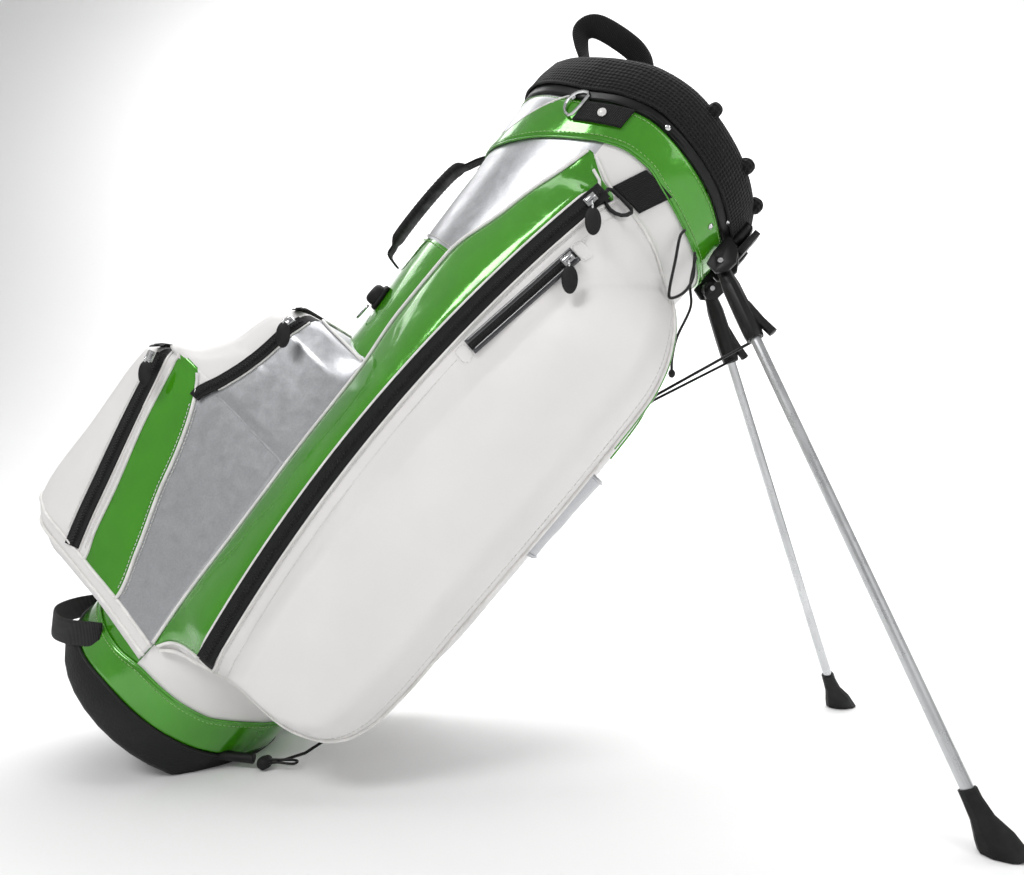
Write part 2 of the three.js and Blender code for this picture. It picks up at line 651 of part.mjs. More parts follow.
// Their zips: straight runs up the near side, each with a slider near its top.
const zipOut = unit([-0.16, -1, 0]);
const SPINE_ZIPS = [
  {
    name: "ball",
    ends: [[-160, -97.5, 104], [-239, -89, 312]], // lower, upper
    tapeLift: 3.4,
    sliderShare: 0.965, // slider's place along the zip
    sliderLift: 4.5,
    pullLift: 9.2, // from the slider
    pullDrift: -0.12, // y of the pull's direction
    pullOut: zipOut,
  },
  {
    name: "valuables",
    ends: [[-166, -90, 338], [-143, -87.5, 440]],
    tapeLift: 4.8,
    sliderShare: 0.95,
    sliderLift: 6,
    pullLift: 9,
    pullDrift: -0.42,
    pullOut: unit([-0.35, -1, 0.1]),
  },
];
for (const zip of SPINE_ZIPS) {
  const { name, ends: [lower, upper], pullOut } = zip;
  const path = times(7, (i) => moved(mix(lower, upper, i / 6), zipOut, zip.tapeLift));
  const along = unit(minus(upper, lower));
  const at = moved(mix(lower, upper, zip.sliderShare), zipOut, zip.sliderLift);
  const hang = unit([LEAN_SIN, zip.pullDrift, -LEAN_COS]);
  const tab = pull(moved(at, zipOut, zip.pullLift), hang, pullOut, 34);
  add(`${name}_zip_tape`, sweep(path, slab(ZIP_W, 1.4), zipOut), finish.webbing);
  add(`${name}_zip_slider`, slider(at, along, zipOut), finish.steel);
  add(`${name}_zip_pull`, tab, finish.rubber);
  pivots[`${name}_zip_slider`] = [at, along];
  pivots[`${name}_zip_pull`] = [at, pullOut];
}

// ---------- haul loop at the foot of the spine ----------
const HAUL_HALF = [[-66, 103, 60], [-78, 101, 50], [-102, 92, 28], [-126, 74, 10], [-145, 44, -1]];
const haulLoop = () => {
  const path = [...HAUL_HALF.map(flipY), [-152, 0, -5], ...[...HAUL_HALF].reverse()];
  return sweep(path, slab(24, 2.2), [-0.3, -1, 0]).subtract(bodyLoft(-20, 200, 4.2, 48, 4));
};
add("haul_loop", haulLoop(), finish.webbing);

// ---------- carry handle on the spine ----------
const GRIP_PATH = [
  [-152, 0, 704], [-160, 0, 690], [-160, 0, 660], [-159, 0, 620], [-157, 0, 585], [-154, 0, 572],
];
const carryHandle = () => {
  const end = (path) => sweep(path, disc(2, 8, 3), X_AXIS);
  return union(
    sweep(GRIP_PATH, disc(4, 10, 3), X_AXIS),
    end([[-140.5, 0, 724], [-146, 0, 716], [-152, 0, 703]]),
    end([[-154, 0, 573], [-151, 0, 562], [-136, 0, 558]]),
  );
};
add("carry_handle", carryHandle(), finish.webbing);
add("carry_anchor_top", box([4, 26, 10], [spineX(706) - 4.2, 0, 707]), finish.black);
add("carry_anchor_bottom", box([3.4, 26, 24], [spineX(548) - 3.2, 0, 540]), finish.black);

// ---------- strap tabs and their D-rings ----------
// A straight bar plus a bow; `bow` points from the bar to the bow, `bar` along the bar.
const dRing = ({ centre, bow, bar, radius, wire }) => {
  const arc = times(9, (i) => {
    const angle = -Math.PI / 2 + (Math.PI * i) / 8;
    return [Math.cos(angle) * radius, Math.sin(angle) * radius];
  });
  const straight = [
    [-radius * 0.18, radius * 0.82], [-radius * 0.22, 0], [-radius * 0.18, -radius * 0.82],
  ];
  const axes = [unit(bow), unit(bar)];
  const path = [...arc, ...straight].map((amounts) => inFrame(centre, axes, amounts));
  return sweep(path, disc(wire, 6), cross(...axes), true);
};
// A webbing patch on the body, between two angles, heights and offsets.
const strapTab = ({ angles: [from, to], heights, offsets }) =>
  tube(times(6, (i) => bandSection(from + ((to - from) * i) / 5, ...heights, ...offsets)));
const addStrapRing = (name, tab, ring, material) => {
  add(`${name}_strap_tab`, strapTab(tab), finish.webbing);
  add(`${name}_ring`, dRing(ring), material);
  pivots[`${name}_ring`] = [moved(ring.centre, ring.bow, -ring.pivotBack), ring.bar];
};
const tangent = (angle) => [-Math.sin(angle), Math.cos(angle), 0];

// on the collar, its bow towards the spine
const collarAngle = -1.98;
addStrapRing(
  "collar",
  { angles: [collarAngle + 0.06, collarAngle + 0.36], heights: [785, 806], offsets: [3.4, 6] },
  {
    centre: onBody(collarAngle + 0.02, 795, 6.6),
    bow: [Math.sin(collarAngle), -Math.cos(collarAngle), 0],
    bar: Z_AXIS,
    radius: 15,
    wire: 1.6,
    pivotBack: 3,
  },
  finish.steel,
);
// below the collar, on the near side
const sideAngle = -1.27;
addStrapRing(
  "side",
  { angles: [sideAngle - 0.13, sideAngle + 0.13], heights: [757, 781], offsets: [1.2, 3.4] },
  {
    centre: moved(onBody(sideAngle, 748, 4.6), [0, -7.5, -4], 1),
    bow: unit([0, -0.45, -1]),
    bar: tangent(sideAngle),
    radius: 16,
    wire: 2.1,
    pivotBack: 3.2,
  },
  finish.black,
);
// beside the spine, for the shoulder strap's lower end
const spineAngle = -Math.PI + 0.42;
const spineOut = unit([Math.cos(spineAngle), Math.sin(spineAngle) * 1.1, 0]);
addStrapRing(
  "spine",
  { angles: [spineAngle - 0.13, spineAngle + 0.13], heights: [506, 530], offsets: [1.2, 5.2] },
  {
    centre: moved(onBody(spineAngle, 499, 0), spineOut, 7),
    bow: [0, 0, -1],
    bar: tangent(spineAngle),
    radius: 15,
    wire: 1.6,
    pivotBack: 3,
  },
  finish.steel,
);

// ---------- hip pad over the actuator rods ----------
const hipPad = () => {
  const outline = (z, taper) => [
    [126, -29, z], [190, -29, z], [204 - taper, -25, z], [212 - taper, -13, z],
    [214 - taper, 0, z],
    [212 - taper, 13, z], [204 - taper, 25, z], [190, 29, z], [126, 29, z],
  ];
  const outer = loft([
    outline(414, 3), outline(420, 0), outline(470, 0), outline(524, 0), outline(530, 3),
  ]);
  const tunnel = loft([380, 560].map((z) => [
    [120, -23, z], [190, -23, z], [200, -12, z], [200, 12, z], [190, 23, z], [120, 23, z],
  ]));
  const body = bodyLoft(300, 600, 0.6, 48, 6);
  const backing = box([4, 52, 112], [133.5, 0, 472]).subtract(body);
  return outer.subtract(tunnel).subtract(body).add(backing);
};
add("hip_pad", hipPad(), finish.silver);

// ---------- legs ----------
const legDir = unit(LEG_OPEN);
const pinDir = unit(cross([0, 0, -1], legDir)); // the closed leg points straight down the bag
const swingDir = unit(cross(pinDir, legDir)); // the way the leg swings open
const hingeOut = unit(cross(Z_AXIS, pinDir)); // away from the bag, square to the pin
const onLeg = (distance) => moved(LEG_PIVOT, legDir, distance);
const alongPin = (reach, radius) =>
  rod(moved(LEG_PIVOT, pinDir, -reach), moved(LEG_PIVOT, pinDir, reach), radius, 14);
// Rings round the leg from [distance, radius along the pin, radius in the swing, shift].
const legLoft = (stations) =>
  loft(stations.map(([distance, pinRadius, swingRadius, shift = 0]) =>
    around(10, (a) => inFrame(LEG_PIVOT, [legDir, pinDir, swingDir], [
      distance,
      pinRadius * Math.cos(a),
      swingRadius * Math.sin(a) + shift,
    ]))), 0);

// hinge profiles: distance out from the pin, distance up the bag
const CHEEK = [[-13, 4], [-10, -10], [4, -13], [13, -6], [14, 8], [6, 20], [-8, 27], [-13, 26]];
const HINGE_BACK = [[-13, 15.5], [5, 17], [6, 20], [-8, 27], [-13, 26]];
const legBracket = () => {
  const plate = (profile, centre, halfThickness) =>
    loft([centre - halfThickness, centre + halfThickness].map((d) =>
      profile.map(([a, b]) => inFrame(LEG_PIVOT, [hingeOut, Z_AXIS, pinDir], [a, b, d]))), 1);
  const bracket = union(
    plate(CHEEK, -9.6, 2.5),
    plate(CHEEK, 9.6, 2.5),
    plate(HINGE_BACK, 0, 11),
    // the bracket's foot on the rim's pad
    box([7, 24, 22], [159.8, -32, RIM_Z + 5]),
    box([16, 22, 16], [156, -38, RIM_Z - 7]),
  );
  return largest(bracket
    .subtract(alongPin(30, 3.2))
    .subtract(bodyLoft(600, 900, 3.6, 48, 10))
    .subtract(box([20, 100, 200], [146, 0, RIM_Z + 14]))
    .subtract(box([60, 60, 60], [150, 28, RIM_Z])));
};
// an eye round the pin, a socket round the tube and a slanting arm
const legSleeve = () => {
  const armPath = [[52, 6], [76, 12], [93, 18]].map(([distance, swing]) =>
    moved(onLeg(distance), swingDir, swing));
  return union(
    alongPin(6.4, 8.2),
    legLoft([
      [3, 6.2, 7], [16, 6.4, 8], [28, 9.5, 9.5], [60, 10, 10], [86, 9.8, 9.8], [92, 9, 9],
    ]),
    sweep(armPath, disc(5, 8), pinDir),
  )
    .subtract(alongPin(20, 3))
    .subtract(rod(onLeg(34), onLeg(120), LEG_R + 0.35, 14));
};
const legTube = () =>
  rod(onLeg(36), onLeg(LEG_LEN - 16), LEG_R, 14)
    .subtract(rod(onLeg(30), onLeg(LEG_LEN), LEG_R - 1.2, 10));
// a flared boot, cut flat where it meets the ground
const legFoot = () =>
  legLoft([
    [LEG_LEN - 42, 7.6, 7.6],
    [LEG_LEN - 34, 7.8, 7.8],
    [LEG_LEN - 20, 8.6, 9.5, 1],
    [LEG_LEN - 6, 13, 15, 3],
    [LEG_LEN + 12, 15, 19, 4],
  ])
    .subtract(rod(onLeg(LEG_LEN - 60), onLeg(LEG_LEN - 15), LEG_R + 0.35, 14))
    .subtract(below(0));
addBoth("leg_bracket", legBracket(), finish.black);
addBoth("leg_pin", alongPin(13, 2.9), finish.steel);
addBoth("leg_sleeve", legSleeve(), finish.black);
addBoth("leg_tube", legTube(), finish.aluminium);
addBoth("leg_foot", legFoot(), finish.rubber);

// ---------- actuator: a long bail up the belly, a coupler and two wires to the legs ----------
const ROD_X = 184; // the rods' distance from the bag's axis
const ROD_Y = 9; // half the rods' spacing
const COUPLER_Z = 575;
const BAIL_Z = COUPLER_Z - 24; // the cross bar that joins the rods
const WIRE_PIN_Z = COUPLER_Z + 1;
const ROD_PATH = [
  [152, 63, 75], [161, 60, 84], [172, 51, 100], [179, 36, 122], [183, 19, 146],
  [ROD_X, ROD_Y, 172], [ROD_X, ROD_Y, 400], [ROD_X, ROD_Y, COUPLER_Z - 21],
];
const actuatorRods = () => union(
  sweep(ROD_PATH.map(flipY), disc(WIRE_R, 8), X_AXIS),
  sweep(ROD_PATH, disc(WIRE_R, 8), X_AXIS),
  rod([ROD_X, -ROD_Y, BAIL_Z], [ROD_X, ROD_Y, BAIL_Z], WIRE_R, 8),
);
const triggerFoot = () =>
  rod([148, -73, 70.6], [148, -60, 70.6], 5.6, 16)
    .subtract(rod([150.2, -62.6, 73], [161, -60, 84], WIRE_R + 0.2, 8))
    .subtract(rod([152, -63, 75], [172, -58, 94], WIRE_R + 0.3, 8));
const coupler = () => {
  const slot = (y) => box([40, 9.6, 17], [ROD_X, y, COUPLER_Z + 4.2]);
  const block = box([12, 30, 32], [ROD_X, 0, COUPLER_Z - 6]).subtract(slot(-10)).subtract(slot(10));
  const bore = 2 * WIRE_R + 0.6;
  const rodBores = [-ROD_Y, ROD_Y].map((y) =>
    rod([ROD_X, y, COUPLER_Z - 40], [ROD_X, y, COUPLER_Z - 20.6], WIRE_R + 0.3, 8));
  return block
    .add(rod([ROD_X, -15, WIRE_PIN_Z], [ROD_X, 15, WIRE_PIN_Z], 1.5, 12))
    .subtract(union(
      ...rodBores,
      box([bore, 22, bore], [ROD_X, 0, BAIL_Z]),
      box([bore, 22, 10], [ROD_X, 0, COUPLER_Z - 27]),
    ));
};
const rodGuide = () => {
  const z = 300;
  return box([72, 32, 10], [158, 0, z])
    .subtract(box([7.6, 25, 30], [ROD_X, 0, z]))
    .subtract(box([38, 20, 30], [148, 0, z]))
    .subtract(bodyLoft(100, 640, 0.6, 48, 10));
};
add("actuator_rods", actuatorRods(), finish.wire);
addBoth("trigger_foot", triggerFoot(), finish.black);
add("actuator_coupler", coupler(), finish.black);
add("rod_guide", rodGuide(), finish.webbing);

// near wire: an eye on the coupler's pin, its other end beside the leg's sleeve
const wireStart = [ROD_X, -10, WIRE_PIN_Z];
const wireEnd = moved(onLeg(88), pinDir, -13.5);
const wireDir = unit(minus(wireEnd, wireStart));
const legWire = () => {
  const pinBore = rod([ROD_X, -30, WIRE_PIN_Z], [ROD_X, 30, WIRE_PIN_Z], 1.85, 12);
  const eye = rod([ROD_X, -12.2, WIRE_PIN_Z], [ROD_X, -7.8, WIRE_PIN_Z], 3.6, 14)
    .subtract(pinBore);
  const path = [moved(wireStart, wireDir, 2.6), [195, -26.5, 640], moved(wireEnd, wireDir, -0.5)];
  return sweep(path, disc(WIRE_R, 8), X_AXIS).subtract(pinBore).add(eye);
};
addBoth("leg_wire", legWire(), finish.wire);
Object.assign(pivots, {
  leg: [LEG_PIVOT, pinDir],
  wire: [wireStart, wireDir],
  stud: [wireEnd, wireDir],
});

// ---------- elastic cord that hangs by the near leg ----------
const CORD_PATH = [
  [107, -91, 773], [105, -95, 764], [112, -89, 748], [123, -78, 734], [133, -62, 727],
  [138, -51, 731], [138, -49, 745], [135, -55, 758], [131, -62, 768], [128, -66, 773],
];
const cordLoop = () =>
  largest(sweep(CORD_PATH, disc(1.5, 8), Z_AXIS).subtract(bodyLoft(600, 840, 3.6, 48, 6)));
add("cord_loop", cordLoop(), finish.webbing);

export { pivots };
export default root;
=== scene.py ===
import bpy
import itertools
import math
import numpy as np
from mathutils import Matrix, Vector


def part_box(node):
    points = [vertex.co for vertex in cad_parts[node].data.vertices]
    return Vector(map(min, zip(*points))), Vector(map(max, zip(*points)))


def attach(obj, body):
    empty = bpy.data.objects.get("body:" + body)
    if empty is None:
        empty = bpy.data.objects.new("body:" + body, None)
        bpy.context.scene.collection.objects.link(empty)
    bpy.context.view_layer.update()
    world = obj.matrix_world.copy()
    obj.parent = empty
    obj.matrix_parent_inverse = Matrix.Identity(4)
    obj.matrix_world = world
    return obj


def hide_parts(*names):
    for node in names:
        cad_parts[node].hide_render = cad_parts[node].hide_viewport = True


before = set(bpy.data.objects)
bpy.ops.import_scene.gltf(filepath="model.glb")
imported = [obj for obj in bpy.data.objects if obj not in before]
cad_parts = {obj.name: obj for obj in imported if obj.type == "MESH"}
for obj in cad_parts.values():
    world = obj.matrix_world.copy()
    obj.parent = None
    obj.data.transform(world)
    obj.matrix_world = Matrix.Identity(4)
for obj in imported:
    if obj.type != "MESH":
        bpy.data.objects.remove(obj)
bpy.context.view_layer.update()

# ================================================================ frame and main sizes
LEAN = math.hypot(0.7300, 0.6834)
LEAN_SIN, LEAN_COS = 0.7300 / LEAN, 0.6834 / LEAN
ORIGIN_X, ORIGIN_Z = -93.0, 56.247  # the bag frame's origin in the row frame, mm
RIM_Z = 823.0
BAR_Z = 816.0                       # middle height of the divider bars
BAR_INSET = 12.4                    # bar ends, inside the sock
WALL_INSET = 23                     # edges of the hanging walls, inside the sock
SIDES = ((-1, "near"), (1, "far"))


def bag_to_row(points):
    """Bag-frame millimetres to row-frame metres."""
    x, y, z = np.moveaxis(np.asarray(points, float), -1, 0)
    return np.stack([x * LEAN_SIN + z * LEAN_COS + ORIGIN_X, y,
                     -x * LEAN_COS + z * LEAN_SIN + ORIGIN_Z], -1) / 1000.0


def curve(points):
    """A cubic through (position, value) points that never overshoots, held at its ends."""
    at, value = np.array(points, float).T
    slope = np.diff(value) / np.diff(at)
    tangent = np.zeros(len(at))
    tangent[0], tangent[-1] = slope[0], slope[-1]
    for i in range(1, len(at) - 1):
        before, after = slope[i - 1], slope[i]
        tangent[i] = 0 if before * after <= 0 else 2 * before * after / (before + after)

    def evaluate(x):
        x = np.clip(np.asarray(x, float), at[0], at[-1])
        i = np.clip(np.searchsorted(at, x, side="right") - 1, 0, len(at) - 2)
        h = at[i + 1] - at[i]
        s = (x - at[i]) / h
        return ((2 * s**3 - 3 * s**2 + 1) * value[i] + (s**3 - 2 * s**2 + s) * h * tangent[i]
                + (3 * s**2 - 2 * s**3) * value[i + 1] + (s**3 - s**2) * h * tangent[i + 1])
    return evaluate


def ease(t):
    """A smooth step from 0 to 1."""
    t = np.clip(t, 0, 1)
    return t * t * (3 - 2 * t)


# The sock's elliptical section at height z: (z, mm)
centre_x = curve([[0, 0], [100, 0], [440, 9], [600, 5], [740, 3.5], [823, 2], [900, 2]])
half_x = curve([[0, 128], [100, 127], [300, 122], [440, 121], [600, 129], [740, 138],
                [823, 142], [900, 142]])
half_y = curve([[0, 119], [100, 118], [300, 112], [440, 110], [600, 115], [740, 122],
                [823, 126], [900, 126]])


def on_sock(angle, z, offset=0.0):
    """Points on the sock, or `offset` mm outside it."""
    angle, z, offset = np.broadcast_arrays(*[np.asarray(v, float) for v in (angle, z, offset)])
    return np.stack([centre_x(z) + (half_x(z) + offset) * np.cos(angle),
                     (half_y(z) + offset) * np.sin(angle), z], -1)


def sock_y(x, z, offset=0.0):
    """The near wall's y at x, or 0 beyond the sock."""
    s = 1 - ((x - centre_x(z)) / (half_x(z) + offset)) ** 2
    return np.where(s > 0, -(half_y(z) + offset) * np.sqrt(np.maximum(s, 0)), 0.0)


def sock_angle(points):
    x, y, z = points.T
    return np.arctan2(y / half_y(z), (x - centre_x(z)) / half_x(z))


def sock_normals(points):
    x, y, z = points.T
    normal = np.stack([(x - centre_x(z)) / half_x(z) ** 2, y / half_y(z) ** 2, x * 0], -1)
    return normal / np.linalg.norm(normal, axis=1, keepdims=True)


def noise(points, cell):
    """Smooth value noise of 3-D points, between -1 and 1."""
    scaled = np.asarray(points, float) / cell
    corner = np.floor(scaled)
    share = ease(scaled - corner)
    total = 0
    for step in itertools.product((0, 1), repeat=3):
        weight = np.prod(np.where(step, share, 1 - share), axis=-1)
        phase = (corner + np.array(step)) @ np.array([12.9898, 78.233, 37.719]) + 4.13
        total = total + weight * (np.abs(np.sin(phase) * 43758.5453) % 1)
    return total * 2 - 1


# ================================================================ materials
def srgb(r, g, b):
    values = [c / 255 for c in (r, g, b)]
    return tuple(c / 12.92 if c <= 0.04045 else ((c + 0.055) / 1.055) ** 2.4
                 for c in values) + (1.0,)


def grey(value):
    return (value, value, value, 1)


def darker(color, factor):
    return tuple(c * factor for c in color[:3]) + (1,)


LOOKS = {}
LOW_SPEC = 0.28  # specular level of the black parts


class Look:
    """A Principled material; bumps, tint and roughness follow procedural textures."""

    def __init__(self, key, name, color, rough, metal=0.0, coat=0.0, sheen=0.0, spec=0.5):
        material = bpy.data.materials.new(name)
        material.use_nodes = True
        self.tree = material.node_tree
        self.shader = self.tree.nodes["Principled BSDF"].inputs
        settings = {"Base Color": color, "Roughness": rough, "Metallic": metal,
                    "Coat Weight": coat, "Coat Roughness": 0.06, "Sheen Weight": sheen,
                    "Specular IOR Level": spec}
        for socket, value in settings.items():
            self.shader[socket].default_value = value
        self.coords = self.node("ShaderNodeTexCoord")
        self.normal = None
        LOOKS[key] = material

    def node(self, kind, **values):
        node = self.tree.nodes.new(kind)
        for name, value in values.items():
            if name in node.inputs:
                node.inputs[name].default_value = value
            else:
                setattr(node, name, value)
        return node

    def link(self, output, socket):
        self.tree.links.new(output, socket)

    def texture(self, kind, output, uv=False, **values):
        node = self.node(kind, **values)
        mapping = self.node("ShaderNodeMapping")
        self.link(self.coords.outputs["UV" if uv else "Object"], mapping.inputs["Vector"])
        self.link(mapping.outputs["Vector"], node.inputs["Vector"])
        return node.outputs[output]

    def noise(self, scale, detail=3.0):
        return self.texture("ShaderNodeTexNoise", "Fac", Scale=scale, Detail=detail,
                            Roughness=0.55)

    def voronoi(self, scale, feature="DISTANCE_TO_EDGE", uv=False, randomness=1.0):
        return self.texture("ShaderNodeTexVoronoi", "Distance", uv, Scale=scale,
                            Randomness=randomness, feature=feature)

    def wave(self, scale, direction="X", uv=True):
        return self.texture("ShaderNodeTexWave", "Fac", uv, Scale=scale, Distortion=0.0,
                            bands_direction=direction, wave_profile="SIN")

    def product(self, first, second):
        node = self.node("ShaderNodeMath", operation="MULTIPLY")
        self.link(first, node.inputs[0])
        self.link(second, node.inputs[1])
        return node.outputs[0]

    def bump(self, height, strength, depth):
        node = self.node("ShaderNodeBump", Strength=strength, Distance=depth)
        self.link(height, node.inputs["Height"])
        if self.normal is not None:
            self.link(self.normal, node.inputs["Normal"])
        self.normal = node.outputs["Normal"]
        self.link(self.normal, self.shader["Normal"])

    def remap(self, value, source, target=(0, 1)):
        limits = {"From Min": source[0], "From Max": source[1],
                  "To Min": target[0], "To Max": target[1]}
        node = self.node("ShaderNodeMapRange", **limits)
        self.link(value, node.inputs["Value"])
        return node.outputs["Result"]

    def tint(self, value, color_1, color_2, source=(0.35, 0.65)):
        mix = self.node("ShaderNodeMix", data_type="RGBA")
        self.link(self.remap(value, source), mix.inputs[0])
        mix.inputs[6].default_value = color_1
        mix.inputs[7].default_value = color_2
        self.link(mix.outputs[2], self.shader["Base Color"])

    def roughen(self, value, low, high):
        self.link(self.remap(value, (0.3, 0.7), (low, high)), self.shader["Roughness"])


# Leathers and patent
color = srgb(226, 224, 223)
look = Look("white", "white_leatherette_look", color, rough=0.42, spec=0.45)
look.bump(look.voronoi(1500), strength=0.10, depth=0.00012)
look.bump(look.noise(38, detail=4), strength=0.16, depth=0.0022)
look.tint(look.noise(9, detail=2), color, darker(color, 0.955))
look.roughen(look.noise(120), low=0.36, high=0.5)

color = srgb(66, 150, 20)
look = Look("green", "green_patent_look", color, rough=0.17, metal=0.25, coat=1.0, spec=0.35)
look.bump(look.noise(60), strength=0.3, depth=0.0018)
look.bump(look.noise(16, detail=2), strength=0.5, depth=0.005)
look.tint(look.noise(12, detail=2), color, darker(color, 0.84))
look.roughen(look.noise(300), low=0.12, high=0.24)

color = srgb(186, 187, 190)
look = Look("silver", "silver_leatherette_look", color, rough=0.34, metal=0.78)
look.bump(look.voronoi(1700), strength=0.12, depth=0.00012)
look.bump(look.noise(26), strength=0.22, depth=0.003)
look.tint(look.noise(500), color, darker(color, 0.88))
look.roughen(look.noise(90), low=0.3, high=0.42)

# Black mouldings
color = (0.0055, 0.0055, 0.006, 1)
look = Look("mould", "black_mould_look", color, rough=0.55, spec=LOW_SPEC)
look.bump(look.voronoi(420, "F1"), strength=0.4, depth=0.0006)
look.tint(look.noise(20), color, grey(0.0090))

look = Look("rim", "black_rim_look", color, rough=0.33, spec=LOW_SPEC)
look.bump(look.noise(900), strength=0.08, depth=0.0002)
look.tint(look.noise(14), color, (0.0090, 0.0090, 0.0095, 1))
look.roughen(look.noise(60), low=0.27, high=0.42)

# Woven and knitted blacks
look = Look("mesh", "spacer_mesh_look", (0.00607, 0.00607, 0.00630, 1), rough=0.8, sheen=0.05,
            spec=LOW_SPEC)
cells = look.voronoi(230, "F1", uv=True, randomness=0.08)
look.bump(cells, strength=1.0, depth=0.003)
look.tint(cells, grey(0.00081), (0.00913, 0.00913, 0.00954, 1), source=(0.15, 0.6))

look = Look("web", "webbing_look", (0.00450, 0.00450, 0.00475, 1), rough=0.72, sheen=0.05,
            spec=LOW_SPEC)
ribs = look.wave(150)
look.bump(ribs, strength=0.7, depth=0.0007)
look.bump(look.wave(70, "Y"), strength=0.3, depth=0.0004)
look.tint(ribs, grey(0.00180), (0.00765, 0.00765, 0.00810, 1), source=(0.1, 0.9))

look = Look("tape", "zip_tape_look", (0.00441, 0.00441, 0.00469, 1), rough=0.7, sheen=0.05,
            spec=LOW_SPEC)
ribs = look.wave(260)
look.bump(look.product(ribs, look.wave(260, "Y")), strength=0.6, depth=0.0004)
look.tint(ribs, grey(0.00252), (0.00756, 0.00756, 0.00791, 1), source=(0.1, 0.9))

look = Look("coil", "coil_nylon_look", (0.0049, 0.0049, 0.0054, 1), rough=0.34, spec=LOW_SPEC)
look.bump(look.noise(2500), strength=0.15, depth=0.0001)
look.tint(look.noise(30), grey(0.0045), grey(0.0090))

look = Look("liner", "liner_look", (0.03, 0.03, 0.032, 1), rough=0.85, sheen=0.3)
look.bump(look.wave(330, uv=False), strength=0.4, depth=0.0003)
look.tint(look.noise(30), (0.02, 0.02, 0.022, 1), (0.04, 0.04, 0.043, 1))

# Metals
look = Look("chrome", "chrome_look", (0.62, 0.62, 0.63, 1), rough=0.14, metal=1.0)
look.bump(look.noise(700), strength=0.05, depth=0.0001)
look.roughen(look.noise(160), low=0.08, high=0.24)
look.tint(look.noise(40), (0.6, 0.6, 0.61, 1), (0.7, 0.7, 0.71, 1))

look = Look("alu", "satin_tube_look", (0.56, 0.57, 0.58, 1), rough=0.3, metal=1.0)
look.bump(look.noise(900, detail=2), strength=0.06, depth=0.0001)
look.roughen(look.noise(60, detail=4), low=0.24, high=0.36)
look.tint(look.noise(18, detail=4), (0.52, 0.53, 0.54, 1), (0.62, 0.63, 0.64, 1))

look = Look("wire", "wire_black_look", grey(0.0063), rough=0.35, metal=0.3, spec=LOW_SPEC)
look.bump(look.noise(1500), strength=0.1, depth=0.0001)
look.tint(look.noise(60), grey(0.0045), grey(0.0099))

# Rubber and nylon
look = Look("rubber", "rubber_look", (0.0063, 0.0063, 0.0065, 1), rough=0.62, spec=LOW_SPEC)
look.bump(look.noise(1100, detail=2), strength=0.2, depth=0.0003)
look.tint(look.noise(45), grey(0.0045), grey(0.0113))
look.roughen(look.noise(80), low=0.5, high=0.75)

look = Look("nylon", "nylon_look", (0.0059, 0.0059, 0.0061, 1), rough=0.4, spec=LOW_SPEC)
look.bump(look.noise(800), strength=0.12, depth=0.0002)
look.tint(look.noise(30), grey(0.0045), grey(0.0090))
look.roughen(look.noise(50), low=0.32, high=0.5)


# Threads, piping and cord
def thread(key, name, color, light, shade):
    look = Look(key, name, color, rough=0.7, sheen=0.3)
    look.bump(look.wave(900, "Z", uv=False), strength=0.5, depth=0.0002)
    look.tint(look.noise(400), light, shade)


thread("thread", "thread_white_look", srgb(226, 226, 222), srgb(228, 228, 224),
       srgb(206, 206, 202))
thread("gthread", "thread_pale_green_look", srgb(150, 196, 118), srgb(150, 196, 118),
       srgb(118, 170, 90))

look = Look("piping", "piping_white_look", srgb(228, 226, 224), rough=0.4, coat=0.2)
look.bump(look.noise(600), strength=0.12, depth=0.0002)
look.tint(look.noise(60), srgb(230, 228, 226), srgb(214, 212, 210))

look = Look("gloss", "carbon_strip_look", (0.014, 0.015, 0.018, 1), rough=0.12, coat=1.0)
look.bump(look.wave(420, "DIAGONAL"), strength=0.3, depth=0.0003)
look.tint(look.wave(420, "DIAGONAL"), (0.008, 0.008, 0.01, 1), (0.03, 0.031, 0.036, 1),
          source=(0.2, 0.8))

look = Look("cord", "cord_look", (0.0059, 0.0059, 0.0063, 1), rough=0.75, sheen=0.3,
            spec=LOW_SPEC)
look.bump(look.wave(800, "DIAGONAL"), strength=0.6, depth=0.0004)
look.tint(look.noise(300), grey(0.0036), grey(0.0135))


# ================================================================ mesh builders
# A piece is (vertices, faces, uv in mm per vertex), with a look number per face if it has several.
def make(name, piece, looks, replaces=None, body="bag", flat=False, in_row=False):
    """Builds an object from a piece; `looks` lists its material keys."""
    vertices, faces, uv, *numbers = piece
    points = np.asarray(vertices, float) if in_row else bag_to_row(vertices)
    mesh = bpy.data.meshes.new(name)
    mesh.from_pydata(points.tolist(), [], [list(map(int, face)) for face in faces])
    for key in looks.split():
        mesh.materials.append(LOOKS[key])
    if numbers:
        mesh.polygons.foreach_set("material_index", np.asarray(numbers[0], np.int32))
    if uv is not None:
        layer = mesh.uv_layers.new(name="UVMap")
        corner = np.zeros(len(mesh.loops), np.int32)
        mesh.loops.foreach_get("vertex_index", corner)
        corner_uv = np.asarray(uv, float)[corner] / 1000.0
        layer.data.foreach_set("uv", corner_uv.astype(np.float32).ravel())
    mesh.polygons.foreach_set("use_smooth", np.full(len(mesh.polygons), not flat))
    mesh.update()
    item = bpy.data.objects.new(name, mesh)
    bpy.context.scene.collection.objects.link(item)
    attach(item, body)
    if replaces:
        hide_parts(replaces)


def merge(pieces):
    """Several pieces as one."""
    vertices, faces, uv, count = [], [], [], 0
    for piece in pieces:
        vertices.append(piece[0])
        faces += [[v + count for v in face] for face in piece[1]]
        uv.append(piece[2])
        count += len(piece[0])
    return np.concatenate(vertices), faces, np.concatenate(uv)


def numbered(pieces, looks=None):
    """Merged pieces with a look number for each piece's faces."""
    looks = looks or [0] * len(pieces)
    return (*merge(pieces), [n for piece, n in zip(pieces, looks) for _ in piece[1]])


